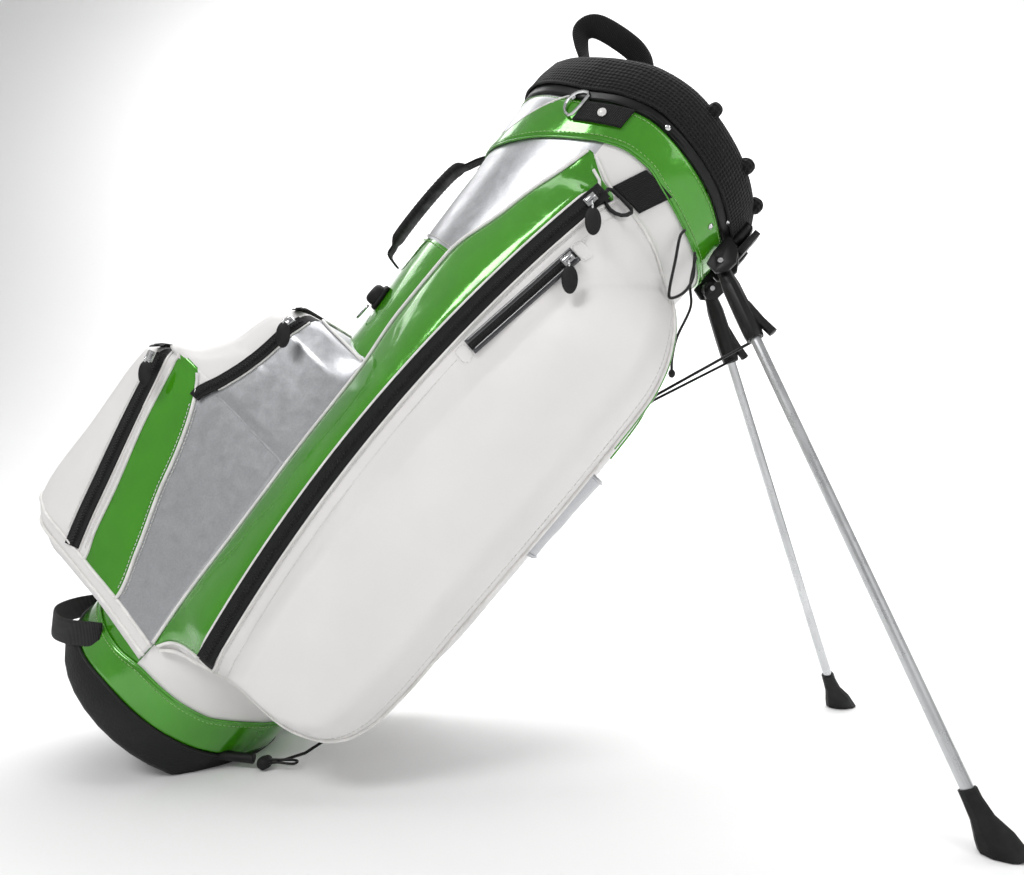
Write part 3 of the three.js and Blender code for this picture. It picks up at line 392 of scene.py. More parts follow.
def grid_of(first, second):
    return np.meshgrid(first, second, indexing="ij")


def rows(levels, step):
    """Heights about `step` apart that hit every level, so each seam is a line of the mesh."""
    z = [levels[0]]
    for low, high in zip(levels[:-1], levels[1:]):
        z += list(np.linspace(low, high, max(1, int(round((high - low) / step))) + 1)[1:])
    return np.array(z)


def travelled(points, axis=0):
    """Distance covered along one axis of a point array."""
    steps = np.linalg.norm(np.diff(points, axis=axis), axis=-1)
    return np.insert(np.cumsum(steps, axis), 0, 0, axis)


def sample(at, positions, table):
    """The table's columns interpolated at the given positions."""
    return np.stack([np.interp(at, positions, column) for column in table.T], -1)


def tangents(path):
    along = np.gradient(path, axis=0)
    return along / np.linalg.norm(along, axis=1, keepdims=True)


def rounded(count, half_width, half_height, width_power=1, height_power=1):
    """A superellipse; powers below 1 make it squarer."""
    angle = np.linspace(0, 2 * math.pi, count, endpoint=False)
    cos, sin = np.cos(angle), np.sin(angle)
    return np.stack([np.sign(cos) * np.abs(cos) ** width_power * half_width,
                     np.sign(sin) * np.abs(sin) ** height_power * half_height], -1)


def grid_faces(nu, nv, wrap=False, base=0, flip=False):
    j, i = grid_of(np.arange(nu if wrap else nu - 1), np.arange(nv - 1))
    here, across = base + j * nv + i, base + (j + 1) % nu * nv + i
    faces = np.stack([here, across, across + 1, here + 1], -1).reshape(-1, 4)
    return (faces[:, ::-1] if flip else faces).tolist()


def sweep_faces(steps, sides, closed=False):
    """Faces of a section carried along a path, with end caps if it is open."""
    faces = []
    for i in range(steps if closed else steps - 1):
        here, ahead = i * sides, (i + 1) % steps * sides
        for j in range(sides):
            j2 = (j + 1) % sides
            faces.append([here + j, here + j2, ahead + j2, ahead + j])
    if not closed:
        faces.append(list(range(sides))[::-1])
        faces.append([(steps - 1) * sides + j for j in range(sides)])
    return faces


def face_centres(vertices, faces):
    return np.array([np.mean(vertices[face], axis=0) for face in faces])


def tube(path, radius=1, sides=8, closed=False, section=None, up=(0, 0, 1), taper=None):
    """A section swept along a path; `up` is one starting direction or one per point."""
    path, up = np.asarray(path, float), np.asarray(up, float)
    along = np.roll(path, -1, 0) - np.roll(path, 1, 0) if closed else np.gradient(path, axis=0)
    along /= np.linalg.norm(along, axis=1, keepdims=True) + 1e-12
    upward = np.zeros_like(path)
    for i, direction in enumerate(along):
        guide = up[i] if up.ndim == 2 else upward[i - 1] if i else up
        square = guide - direction * (guide @ direction)
        if np.linalg.norm(square) < 1e-6:  # the guide lies along the path
            square = np.cross(direction, [1, 0.3, 0.2])
        upward[i] = square / np.linalg.norm(square)
    sideways = np.cross(along, upward)
    section = rounded(sides, radius, radius) if section is None else np.asarray(section, float)
    scale = np.ones(len(path)) if taper is None else taper
    spread = (sideways[:, None] * section[None, :, 0:1] + upward[:, None] * section[None, :, 1:2])
    vertices = path[:, None] + scale[:, None, None] * spread
    uv = np.stack(grid_of(travelled(path), travelled(section)), -1)
    faces = sweep_faces(len(path), len(section), closed)
    return vertices.reshape(-1, 3), faces, uv.reshape(-1, 2)


def resample(points, step=3.0, closed=False):
    """A smooth curve through the points, sampled evenly."""
    points = np.asarray(points, float)
    if closed:
        knots = np.vstack([points[-1], points, points[0], points[1]])
    else:
        knots = np.vstack([2 * points[0] - points[1], points, 2 * points[-1] - points[-2]])
    s = np.linspace(0, 1, 9)[:-1, None]
    parts = []
    for i in range(1, len(knots) - 2):
        a, b, c, d = knots[i - 1:i + 3]
        parts.append(0.5 * ((2 * b) + (-a + c) * s + (2 * a - 5 * b + 4 * c - d) * s**2
                            + (-a + 3 * b - 3 * c + d) * s**3))
    fine = np.vstack(parts + [parts[0][:1] if closed else points[-1:]])
    run = travelled(fine)
    count = max(4, int(round(run[-1] / step)))
    even = sample(np.linspace(0, run[-1], count + 1), run, fine)
    return even[:-1] if closed else even


def blocks(centres, axes, size):
    """Eight-corner blocks at the centres, along three arrays of unit axes."""
    signs = np.array(list(itertools.product((-1, 1), repeat=3))) / 2
    corners = centres[:, None] + sum(signs[:, k, None] * size[k] * axes[k][:, None]
                                     for k in range(3))
    sides = [[0, 1, 3, 2], [4, 6, 7, 5], [0, 4, 5, 1], [2, 3, 7, 6], [0, 2, 6, 4], [1, 5, 7, 3]]
    faces = [[v + 8 * i for v in side] for i in range(len(centres)) for side in sides]
    return corners.reshape(-1, 3), faces, np.zeros((8 * len(centres), 2))


def stitches(path, normal, length=3.0, gap=1.6, radius=0.4):
    """Thread dashes along a path; `normal` is one outward direction or a row of them."""
    path = resample(path, 1.0) if len(path) < 400 else path
    normal = np.asarray(normal, float)
    if normal.ndim == 1:
        normal = np.tile(normal, (2, 1))
    lift = 0.35 * np.array([-0.6, 0.7, 1, 0.7, -0.6])  # the ends dip into the cloth
    run = travelled(path)
    dashes, start = [], gap
    while start + length < run[-1]:
        at = np.linspace(start, start + length, 5)
        out = sample(at / run[-1] * (len(normal) - 1), np.arange(len(normal)), normal)
        dash = sample(at, run, path) + out * lift[:, None]
        dashes.append(tube(dash, radius, sides=5, up=out[0]))
        start += length + gap
    return merge(dashes)


def shell(outer, inner, wrap=True):
    """A closed wall between two point grids of the same shape."""
    nu, nv = outer.shape[:2]
    base, top, end = nu * nv, nv - 1, (nu - 1) * nv
    faces = grid_faces(nu, nv, wrap) + grid_faces(nu, nv, wrap, base, flip=True)
    for j in range(nu if wrap else nu - 1):
        a, b = j * nv, (j + 1) % nu * nv
        faces += [[a, base + a, base + b, b], [a + top, b + top, base + b + top, base + a + top]]
    if not wrap:
        for i in range(nv - 1):
            faces += [[i, i + 1, base + i + 1, base + i],
                      [end + i, base + end + i, base + end + i + 1, end + i + 1]]
    uv = np.stack([travelled(outer, 0), travelled(outer, 1)], -1).reshape(-1, 2)
    return np.vstack([outer.reshape(-1, 3), inner.reshape(-1, 3)]), faces, np.vstack([uv, uv])


def sock_patch(angle, z, outer, inner):
    """A sheet lying over the sock between two offsets."""
    return shell(on_sock(angle, z, outer), on_sock(angle, z, inner), wrap=False)


def closed_loft(grid, flip=False):
    """Closed rings, grid[strip, level], capped below and above; also gives each face's strip."""
    nu, nv = grid.shape[:2]
    foot = [j * nv for j in range(nu)]
    faces = grid_faces(nu, nv, True) + [foot[::-1], [v + nv - 1 for v in foot]]
    if flip:
        faces = [face[::-1] for face in faces]
    strip = np.append(np.repeat(np.arange(nu), nv - 1), [nu - 1, nu - 1])
    return grid.reshape(-1, 3), faces, strip


def ellipsoid(centre, axes, radii, around=20, levels=12, power=1.0):
    """An ellipsoid; a power below 1 makes it boxier."""
    axes = np.asarray(axes, float) * np.reshape(radii, (3, 1))
    ring = rounded(around, 1, 1, power, power) @ axes[:2]
    vertices = [[centre - axes[2]]]
    for i in range(1, levels):
        latitude = -math.pi / 2 + math.pi * i / levels
        rise = math.copysign(abs(math.sin(latitude)) ** power, math.sin(latitude))
        vertices.append(centre + ring * math.cos(latitude) ** power + axes[2] * rise)
    vertices = np.vstack(vertices + [[centre + axes[2]]])
    last = len(vertices) - 1

    def at(i, j):
        return 1 + (i - 1) * around + j % around

    turn = range(around)
    faces = [[0, at(1, j + 1), at(1, j)] for j in turn]
    faces += [[at(i, j), at(i, j + 1), at(i + 1, j + 1), at(i + 1, j)]
              for i in range(1, levels - 1) for j in turn]
    faces += [[at(levels - 1, j), at(levels - 1, j + 1), last] for j in turn]
    return vertices, faces, vertices[:, :2]


def radial_axes(angle):
    cos, sin = math.cos(angle), math.sin(angle)
    return [[cos, sin, 0], [-sin, cos, 0], [0, 0, 1]]


def zipper(name, path, normal, width, replaces=None):
    """A zip along the path: tape with raised woven edges, and a coil of small blocks."""
    path, normal, step, half = resample(path, 2.0), np.asarray(normal, float), 2.0, width / 2
    along = tangents(path)
    out = normal - along * (along @ normal)[:, None]
    out /= np.linalg.norm(out, axis=1, keepdims=True)
    across = np.cross(along, out)
    section = [[-half, -0.5], [half, -0.5], [half, 0.35], [half - 0.8, 0.6], [half - 1.8, 0.35],
               [2.9, 0.45], [2.5, 0.8], [-2.5, 0.8], [-2.9, 0.45], [-half + 1.8, 0.35],
               [-half + 0.8, 0.6], [-half, 0.35]]
    vertices, faces, _ = tube(path, section=section, up=out)
    uv = [[i * step, side] for i in range(len(path)) for side, _ in section]
    run = travelled(path)
    at = np.arange(2, run[-1] - 2, 1.7)
    middle, along, out, across = (sample(at, run, table) for table in (path, along, out, across))
    stagger = np.where(np.arange(len(at)) % 2 == 0, 1, -1)[:, None]
    coil = blocks(middle + out + across * 0.75 * stagger, (across, along, out), (3.9, 1.05, 1.1))
    make(name, numbered([(vertices, faces, uv), coil], [0, 1]), "tape coil", replaces)


# ================================================================ outlines
# Side pocket at height z: (z, mm), in the near pocket's own half
pocket_left = curve([[104, -12], [160, -20], [230, -27], [350, -40], [447, -48], [522, -58],
                     [598, -59], [662, -41], [698, -32], [731, -21], [765, -12]])
pocket_right = curve([
    [104, -4], [118, 12], [130, 40], [139, 75], [147, 115], [158, 155], [172, 186], [188, 200],
    [215, 207], [260, 209], [330, 207], [480, 203], [560, 199], [615, 195], [645, 188],
    [672, 176], [700, 158], [721, 137], [729, 118], [738, 99], [745, 70], [747, 50], [749, 30],
    [757, 10], [765, -6]])
# Distance from the middle plane that the face rises from, and the rise
pocket_base = curve([[104, 96], [150, 101], [645, 101], [672, 92], [700, 72], [721, 48], [735, 0]])
pocket_rise = curve([[104, 24], [125, 38], [160, 46], [600, 46], [650, 41], [690, 31], [721, 17],
                     [735, 8], [745, 5], [765, 4]])
# Share of the rise lost at the right edge
edge_drop = curve([[104, 0.2], [150, 0.25], [200, 0.8], [640, 0.8], [700, 0.6], [765, 0.5]])

# The main zip follows an arc in x-z about this centre, through x 30, z 736
ZIP_ARC_X, ZIP_ARC_Z = 1559.456, 490.658
ZIP_ARC_RADIUS = math.hypot(30 - ZIP_ARC_X, 736 - ZIP_ARC_Z)
ZIP_FOOT, ZIP_HEAD = 150, 738

# Heights round the bag: (cosine of the angle, z)
collar_low = curve([[-1.01, 718], [-0.9, 723], [-0.76, 731], [-0.5, 750], [-0.25, 767],
                    [-0.08, 779], [0.13, 788], [0.28, 789], [0.45, 784], [0.7, 777],
                    [0.92, 771], [1.01, 768]])
rim_low = curve([[-1.01, 790], [-0.78, 795], [-0.46, 801], [-0.15, 817], [0.15, 826],
                 [0.45, 823], [0.72, 817], [0.91, 809], [1.01, 807]])
base_top = curve([[-1.01, 24], [-0.6, 29], [-0.1, 38], [0.6, 39], [1.01, 42]])
band_top = curve([[-1.01, 60], [-0.3, 70], [0, 77], [0.33, 76], [0.57, 77], [0.75, 84],
                  [0.86, 88], [1.01, 91]])
rim_top = curve([[-1.01, 830], [-0.5, 834], [0, 840], [1.01, 842]])
cuff_top = curve([[-1.01, 847], [-0.7, 851], [-0.4, 862], [-0.1, 874], [0.2, 878], [0.6, 873],
                  [1.01, 862]])


def zip_x(z):
    height = np.clip(z, ZIP_FOOT, ZIP_HEAD) - ZIP_ARC_Z
    return ZIP_ARC_X - np.sqrt(ZIP_ARC_RADIUS**2 - height**2)


def zip_y(z):
    return -154 + (z - 158) * 0.0225


def face_y(x, z):
    """The near side pocket's face, flattened along the main zip."""
    left, rise, line = pocket_left(z), pocket_rise(z), zip_x(z)
    left_y = sock_y(left, z, 1.5) - 2
    full = (np.maximum(-sock_y(x, z, 1.5), pocket_base(z))
            + rise * (0.75 + 0.5 * ease((x - line) / 120))
            - rise * edge_drop(z) * (1 - np.clip((pocket_right(z) - x) / 36, 0, 1)) ** 2)
    y = left_y + (-full - left_y) * ease((x - left + 6) / (line + 22 - left))
    flat = ease(1.25 - np.abs(x - line) / 34) * ease((z - 128) / 40) * ease((742 - z) / 26)
    return y + (zip_y(z) - y) * flat


# ================================================================ body sock
angle, z = grid_of(np.linspace(0, 2 * math.pi, 200, endpoint=False),
                   rows([6.8, 60, 77, 113, 300, 445, 603, 660, 818], 6.0))
spot = np.stack([130 * np.cos(angle), 130 * np.sin(angle), z], -1)
slack = (0.9 * noise(spot, 62) + 0.45 * noise(spot + 40, 27))  # soft hollows between the seams
slack *= ease((z - 80) / 40) * ease((760 - z) / 60)
for seam_z in (113, 445, 603):  # the wall pulls in a little at each cross seam
    slack -= 1.3 * np.exp(-((z - seam_z) / 5.5) ** 2)
walls = on_sock(angle, z, np.minimum(slack, 0.5)), on_sock(angle, z, -4.0)
for wall in walls:  # keeps the foot 6 mm above the floor
    row_z = -wall[..., 0] * LEAN_COS + wall[..., 2] * LEAN_SIN + ORIGIN_Z
    wall[..., 2] += np.maximum(0, 6.0 - row_z) / LEAN_SIN
sock = shell(*walls)
centres = face_centres(*sock[:2])
x, y, z = centres.T
turn = np.abs(sock_angle(centres))
inside = np.hypot((x - centre_x(z)) / (half_x(z) - 2.4), y / (half_y(z) - 2.4)) < 1
low_side = (turn > 0.9) & (z < 113) & (turn < 1.66)
numbers = np.select([inside, (turn <= 1.62) | low_side, z > 603], [3, 0, 2], 1)
make("bag_sock", (*sock, numbers), "white green silver liner", "body_shell")

seams = []
for z, start, end in ((606.5, 2.10, 4.18), (599.5, 2.12, 4.16), (449, 2.05, 4.25)):
    path = on_sock(np.linspace(start, end, 160), z, -0.2)
    seams.append(stitches(path, sock_normals(path), length=3.2, gap=1.7, radius=0.45))
make("sock_stitching", numbered(seams, [0, 1, 1]), "thread gthread")

# ================================================================ collar, rim, cuff
seam_turn = np.linspace(0, 2 * math.pi, 260, endpoint=False)
mouth_turn = np.linspace(0, 2 * math.pi, 240, endpoint=False)


def seam_loop(level, rise, offset):
    return on_sock(seam_turn, level(np.cos(seam_turn)) + rise, offset)


def edge_falloff(share, width):
    """1 at both ends of 0..1, falling to 0 within `width`."""
    return np.maximum(0, 1 - np.minimum(share, 1 - share) / width) ** 2


def padded_band(low, high, levels, thickness, lump, lump_size):
    """A padded band round the sock between two level curves of the angle's cosine."""
    angle, share = grid_of(mouth_turn, np.linspace(0, 1, levels))
    cos = np.cos(angle)
    z = low(cos) + (high(cos) - low(cos)) * share
    pad = 1 - edge_falloff(share, 0.09)
    offset = 0.9 + thickness * pad + lump * noise(on_sock(angle, z), lump_size) * pad
    return shell(on_sock(angle, z, offset), on_sock(angle, z, 0.6))


def panel_cut(turn, low, high):
    """The slanting edge between the collar's green and the silver nearer the spine."""
    bottom, top = collar_low(np.cos(turn)), rim_low(np.cos(turn))
    return bottom + (top - bottom) * np.clip((2.72 - turn) / 0.62, low, high)


band = padded_band(collar_low, lambda cos: rim_low(cos) - 0.6, levels=16, thickness=2.0,
                   lump=0.75, lump_size=30)
centres = face_centres(*band[:2])
turn = np.abs(sock_angle(centres))
numbers = np.where((turn > 2.0) & (centres[:, 2] > panel_cut(turn, 0.28, 1.4)), 1, 0)
make("collar_panel", (*band, numbers), "green silver", "collar_band")
make("collar_edge_binding", numbered([tube(seam_loop(collar_low, 0, 2.2), 1.15, closed=True)]),
     "green")
paths = seam_loop(collar_low, 5.5, 3.1), seam_loop(rim_low, -5.0, 3.1)
make("collar_stitching", numbered([stitches(path, sock_normals(path), length=3.2, radius=0.42)
                                   for path in paths]), "gthread")
for side, tag in SIDES:
    turn = np.linspace(2.10, 2.66, 40)
    path = on_sock(turn * side, panel_cut(turn, 0.28, 1.0), 3.2)
    make("collar_seam_" + tag, tube(path, 0.9), "piping")


def hoop(profile, turn_uv, profile_uv, level=None):
    """A closed profile of (z, offset) carried round the mouth.

    With a level, the sock's section at that height is used throughout.
    """
    z, offset = (np.array([point[k] + 0 * mouth_turn for point in profile]).T for k in (0, 1))
    grid = on_sock(mouth_turn[:, None], z if level is None else level, offset)
    grid[..., 2] = z
    uv = [[j * turn_uv, v] for j in range(len(mouth_turn)) for v in profile_uv]
    return grid.reshape(-1, 3), sweep_faces(len(mouth_turn), len(profile), closed=True), uv


# Moulded rim
cos = np.cos(mouth_turn)
low, top = rim_low(cos), rim_top(cos)
vertices, faces, uv = hoop([
    (low, 0.3), (low, 2.6), (low + 0.8, 3.6), (low + 2.2, 3.9),
    (np.minimum(RIM_Z + 3, top - 13), 4.9), (top - 9, 5.0), (top - 4.5, 4.4), (top - 1.6, 2.8),
    (top - 0.2, 0.6), (top, -2), (top - 0.1, -5), (top - 1.4, -7.6), (top - 5, -9.6),
    (top - 10, -11), (818.5, -11), (818.5, 0.25)], turn_uv=3.6, profile_uv=np.arange(16) * 5.0)
make("mouth_rim", (vertices, [face[::-1] for face in faces], uv), "rim", "top_rim")

# Pad on the rim that the two leg brackets are bolted to
PAD_HALF = 41.5
y, z = grid_of(np.linspace(-PAD_HALF, PAD_HALF, 25),
               RIM_Z + np.array([-8, -6.5, 0, 11, 16.5, 18]))
rim_x = centre_x(RIM_Z) + (half_x(RIM_Z) + 4.6) * np.sqrt(1 - (y / (half_y(RIM_Z) + 4.6)) ** 2)
front_x = 155.3 - np.array([1.5, 0, 0, 0, 0, 1.5]) - 2.5 * (np.abs(y) / PAD_HALF) ** 6
pad = shell(np.stack([np.maximum(front_x, rim_x + 0.6), y, z], -1),
            np.stack([rim_x, y, z], -1), wrap=False)
make("bracket_pad", pad, "rim")

# Padded mesh cuff
foot, peak = low + 10.5, cuff_top(cos)
lump = 0.5 * noise(np.stack([150 * cos, 150 * np.sin(mouth_turn), 0 * cos], -1), 14)
vertices, faces, uv = hoop([
    (top + 0.5, -11), (top + 0.5, -2), (top - 5, 5.3), (foot, 5.3), (foot + 0.2, 6.5),
    (foot + 2.5, 7.2 + lump), ((foot + peak) / 2 - 4, 7.4 + lump), (peak - 11, 5.0 + lump),
    (peak - 5, 1.6), (peak - 1.2, -2.2), (peak + 0.1, -6.5), (peak - 1.4, -10.4),
    (peak - 6, -13.6), (top - 3, -14.0)], turn_uv=3.75,
    profile_uv=[0, 4, 8, 20, 22, 26, 46, 62, 70, 76, 81, 86, 92, 110], level=RIM_Z)
make("cuff_padding", (vertices, [face[:1] + face[:0:-1] for face in faces], uv), "mesh",
     "cuff_pad")
path = on_sock(mouth_turn, RIM_Z, 6.2)
path[:, 2] = low + 10.4
make("cuff_binding", tube(path, 1.5, closed=True), "web")

# Knobs on the cuff's near side: (angle, width)
for i, (angle, width) in enumerate([(-1.2, 15), (-0.72, 16), (-0.3, 17)]):
    axes = radial_axes(angle)
    centre = on_sock(angle, RIM_Z, -3.0) + 3 * np.array(axes[0])
    centre[2] = cuff_top(math.cos(angle)) - 2.5
    vertices, faces, _ = ellipsoid(centre, axes, (9, width / 2, width / 2 - 0.5), power=0.8)
    make(f"cuff_knob_{i + 1}", (vertices, faces, vertices[:, [0, 2]]), "mesh")


# ================================================================ dividers
def divider_bar(name, start, end, replaces=None):
    path = np.linspace([*start, BAR_Z], [*end, BAR_Z], 40)
    make(name, tube(path, section=rounded(24, 6.5, 11, 0.6, 0.6)), "mesh", replaces)


mouth_x, reach = centre_x(RIM_Z), half_x(RIM_Z) - BAR_INSET
divider_bar("divider_spine_bar", (mouth_x - reach, 0), (mouth_x + reach, 0), "divider_bars")
CROSS_X = (-48, 52)
for i, (x, end_x) in enumerate(zip(CROSS_X, (-54, 58))):  # end_x sets the bar's length
    half = math.sqrt(1 - ((end_x - mouth_x) / reach) ** 2) * (half_y(RIM_Z) - BAR_INSET)
    divider_bar(f"divider_cross_bar_{i + 1}", (x, -half), (x, half))


def divider_wall(name, fixed, lengthwise, replaces=None):
    """A slightly wavy cloth wall under a bar, along x if lengthwise, else along y."""
    share, level = grid_of(np.linspace(0, 1, 40), np.linspace(16, BAR_Z - 12.5, 60))
    middle, reach = centre_x(level), half_x(level) - WALL_INSET
    if not lengthwise:
        depth = np.sqrt(np.maximum(0.05, 1 - ((fixed - middle) / reach) ** 2))
        middle, reach = 0, depth * (half_y(level) - WALL_INSET)
    run = middle - reach + 2 * reach * share
    sway = fixed + 1.2 * np.sin(share * 9 + level / 60) * np.sin(share * math.pi)
    x, y = (run, sway) if lengthwise else (sway, run)
    # stays 16 mm above the floor, its rows always rising
    z = np.maximum(level, (16 - ORIGIN_Z + x * LEAN_COS) / LEAN_SIN) + 0.02 * np.arange(60)
    thick = np.array([0, 0.7, 0] if lengthwise else [0.7, 0, 0])
    cloth = np.stack([x, y, z], -1)
    make(name, shell(cloth + thick, cloth - thick, wrap=False), "liner", replaces)


divider_wall("divider_wall_long", 0.0, True, "divider_panels")
for i, x in enumerate(CROSS_X):
    divider_wall(f"divider_wall_{i + 1}", x, False)

# Lift handle: a webbing loop that twists and widens along its run
path = resample([
    [-106, 0, BAR_Z + 11.4], [-108, 0, 858], [-122, 0, 880], [-146, 0, 898], [-157, 0, 911],
    [-151, 0, 925], [-130, 0, 931], [-92, 0, 932], [-67, 0, 922], [-54, 0, 902], [-49, 0, 870],
    [-48, 0, BAR_Z + 11.4]], 2.0)
share = np.linspace(0, 1, len(path))
twist = 0.9 * np.sin(np.pi * np.clip(share * 1.1, 0, 1))[:, None]
up = (-np.cross(tangents(path), [0, 1.0, 0]) * np.cos(twist)
      + np.array([0, -1.0, 0]) * np.sin(twist))
half_width = 9.5 + 3.5 * np.exp(-((share - 0.52) / 0.26) ** 4)
make("lift_strap", tube(path, section=rounded(18, 1, 0.26, 0.55, 0.55), taper=half_width, up=up),
     "web", "lift_handle")

# ================================================================ base
band = padded_band(lambda cos: base_top(cos) + 0.6, band_top, levels=12, thickness=1.7,
                   lump=0.9, lump_size=24)
make("base_panel", band, "green", "base_band")
path = seam_loop(band_top, -4.5, 2.7)
make("base_stitching", numbered([stitches(path, sock_normals(path), radius=0.42)]),
     "gthread")
make("base_panel_binding", tube(seam_loop(band_top, 0, 1.7), 1.2, closed=True), "green")
make("base_lip", tube(seam_loop(base_top, 1.2, 3.0), 1.3, closed=True), "mould")

# ================================================================ side pockets
ZIP_HALF = 10.2      # half width of the zip channel
FACE_LIMIT = -12     # the pocket face comes no nearer the middle plane


def left_seam(z):
    left = pocket_left(z)
    return np.minimum(zip_x(z) - ZIP_HALF, left + 0.55 * (pocket_right(z) - left))


def right_seam(z):
    left = pocket_left(z)
    return np.minimum(zip_x(z) + ZIP_HALF, left + 0.8 * (pocket_right(z) - left))


def pocket_ring(z, strip_count, zip_count, face_count):
    """The near pocket's closed outline at height z, from its left edge over the face and back."""
    left, right, base = pocket_left(z), pocket_right(z), pocket_base(z)
    seam_1, seam_2, width = left_seam(z), right_seam(z), right - left
    across = 1 - (1 - np.linspace(0, 1, face_count + 1)[1:]) ** 1.25
    x = np.concatenate([np.linspace(left, seam_1, strip_count + 1),
                        np.linspace(seam_1, seam_2, zip_count + 1)[1:],
                        seam_2 + (right - seam_2) * across])
    y = face_y(x, z)
    share = np.clip((x - left) / (seam_1 - left), 0, 1)
    strip_y = y[0] + (face_y(seam_1, z) - y[0]) * (1 - (1 - share) ** 1.35)
    y = np.where(x <= seam_1, strip_y, y)
    # the foot of the pocket runs in to the sock
    wall = sock_y(x, z, 3.0)
    free = np.maximum(ease((z - 104) / 26), ease((x - 20) / 40))
    y = np.minimum(np.where(x < 60, wall + (y - wall) * free, y), FACE_LIMIT)
    # padding: slight hollows that fade at the seams, and a fuller strip left of the zip
    spot = np.stack([x, y, np.full(len(x), z)], -1)
    fade = (ease((x - seam_2) / 16) * ease((right - x) / 14)
            * ease((z - 112) / 26) * ease((748 - z) / 30))
    y = y - (1.5 * noise(spot, 78) + 0.7 * noise(spot + 30, 31)) * fade
    strip = ease((x - left) / 5) * ease((seam_1 - x) / 5)
    y = y - (strip * (1.1 + 0.5 * noise(spot, 24)) * ease((z - 106) / 10) * ease((762 - z) / 10))
    end = y[-1]
    behind = np.array([
        [right + 1.6, end + 1.6 - (base + end) * 0.1], [right + 1.9, end - (base + end) * 0.5],
        [right + 0.8, -base + 1.5], [left + 0.98 * width, -0.92 * base],
        [left + 0.93 * width, -0.82 * base], [left + 0.78 * width, -0.75 * base],
        [left + 0.6 * width, -0.7 * base], [left + 0.3 * width, -0.62 * base], [left + 1, -58]])
    behind[:, 1] = np.minimum(behind[:, 1], -7)
    ring = np.vstack([np.column_stack([x, y]), behind])
    return np.column_stack([ring, np.full(len(ring), z)])


def side_pocket(side, tag):
    """One side pocket with its piping and stitching; side is the sign of its y."""
    mirror = np.array([1, -side, 1])
    strips, zips = 10, 5
    rings = [pocket_ring(z, strips, zips, 52) * mirror for z in
             rows([104, 112, 130, 150, 205, 300, 450, 570, 640, 675, 705, 726, 745, 765], 5.0)]
    vertices, faces, strip = closed_loft(np.array(rings).transpose(1, 0, 2), flip=side < 0)
    height = face_centres(vertices, faces)[:, 2]
    numbers = np.select([strip < strips, strip >= strips + zips, height > 741, height < 140],
                        [1, 0, 1, 0], 2)
    make("side_pocket_skin_" + tag, (vertices, faces, vertices[:, [0, 2]], numbers),
         "white green tape", "side_pocket_" + tag)

    def on_face(x, z, lift, shift=0):
        y = np.minimum(face_y(x, z), FACE_LIMIT) - lift
        return np.stack([x + shift, y, z], -1) * mirror

    pipes = []
    for line, shift, low, high, lift, radius in ((pocket_left, -0.6, 105, 763, 0.9, 1.9),
                                                 (left_seam, 0, 106, 752, 1.1, 1.75),
                                                 (right_seam, 0, 132, 747, 1.1, 1.6)):
        z = np.linspace(low, high, 150)
        pipes.append(tube(on_face(line(z) + shift, z, lift), radius))
    z = np.concatenate([np.linspace(104.5, 230, 60), np.linspace(236, 600, 90),
                        np.linspace(604, 764, 80)])
    pipes.append(tube(on_face(pocket_right(z), z, 0.5, shift=0.9), 1.9))
    make("side_pocket_piping_" + tag, numbered(pipes), "piping")
    z = np.linspace(560, 756, 90)
    make("side_pocket_green_welt_" + tag,
         tube(on_face(pocket_right(z), z, -2.3, shift=2.6), 1.5), "green")

    def seam(line, shift, low, high, count, **thread):
        z = np.linspace(low, high, count)
        return stitches(on_face(line(z) + shift, z, 0.2), [0, side, 0.0], **thread)

    make("side_pocket_stitching_" + tag, numbered([
        seam(right_seam, 3.4, 134, 738, 400, length=3.2, gap=1.7, radius=0.42),
        seam(pocket_right, -4.6, 128, 742, 500, length=3.2, gap=1.7)]), "thread")
    make("side_pocket_second_seam_" + tag,
         seam(right_seam, 13.5, 140, 732, 400, length=3.4, gap=1.5, radius=0.34),
         "thread")


for side, tag in SIDES:
    side_pocket(side, tag)
    z = np.linspace(ZIP_FOOT, ZIP_HEAD, 60)
    zipper("main_zip_" + tag, np.stack([zip_x(z), (zip_y(z) - 2.2) * -side, z], -1),
           [0, side, 0], width=18.5, replaces="main_zip_tape_" + tag)

# Small straight zip on the near pocket, clear of the face's bulge
x, z = np.linspace([37.0, 540.0], [52.0, 673.0], 40).T
y = face_y(x, z)
straight = y[0] + (y[-1] - y[0]) * np.linspace(0, 1, 40)
path = np.stack([x, straight - np.max(straight - y) - 1.3, z], -1)
along = path[-1] - path[0]
along /= np.linalg.norm(along)
across = np.cross(along, [0, -1, 0])
across /= np.linalg.norm(across)
zipper("small_zip", path, [0, -1, 0], width=7.0, replaces="small_zip_tape_near")

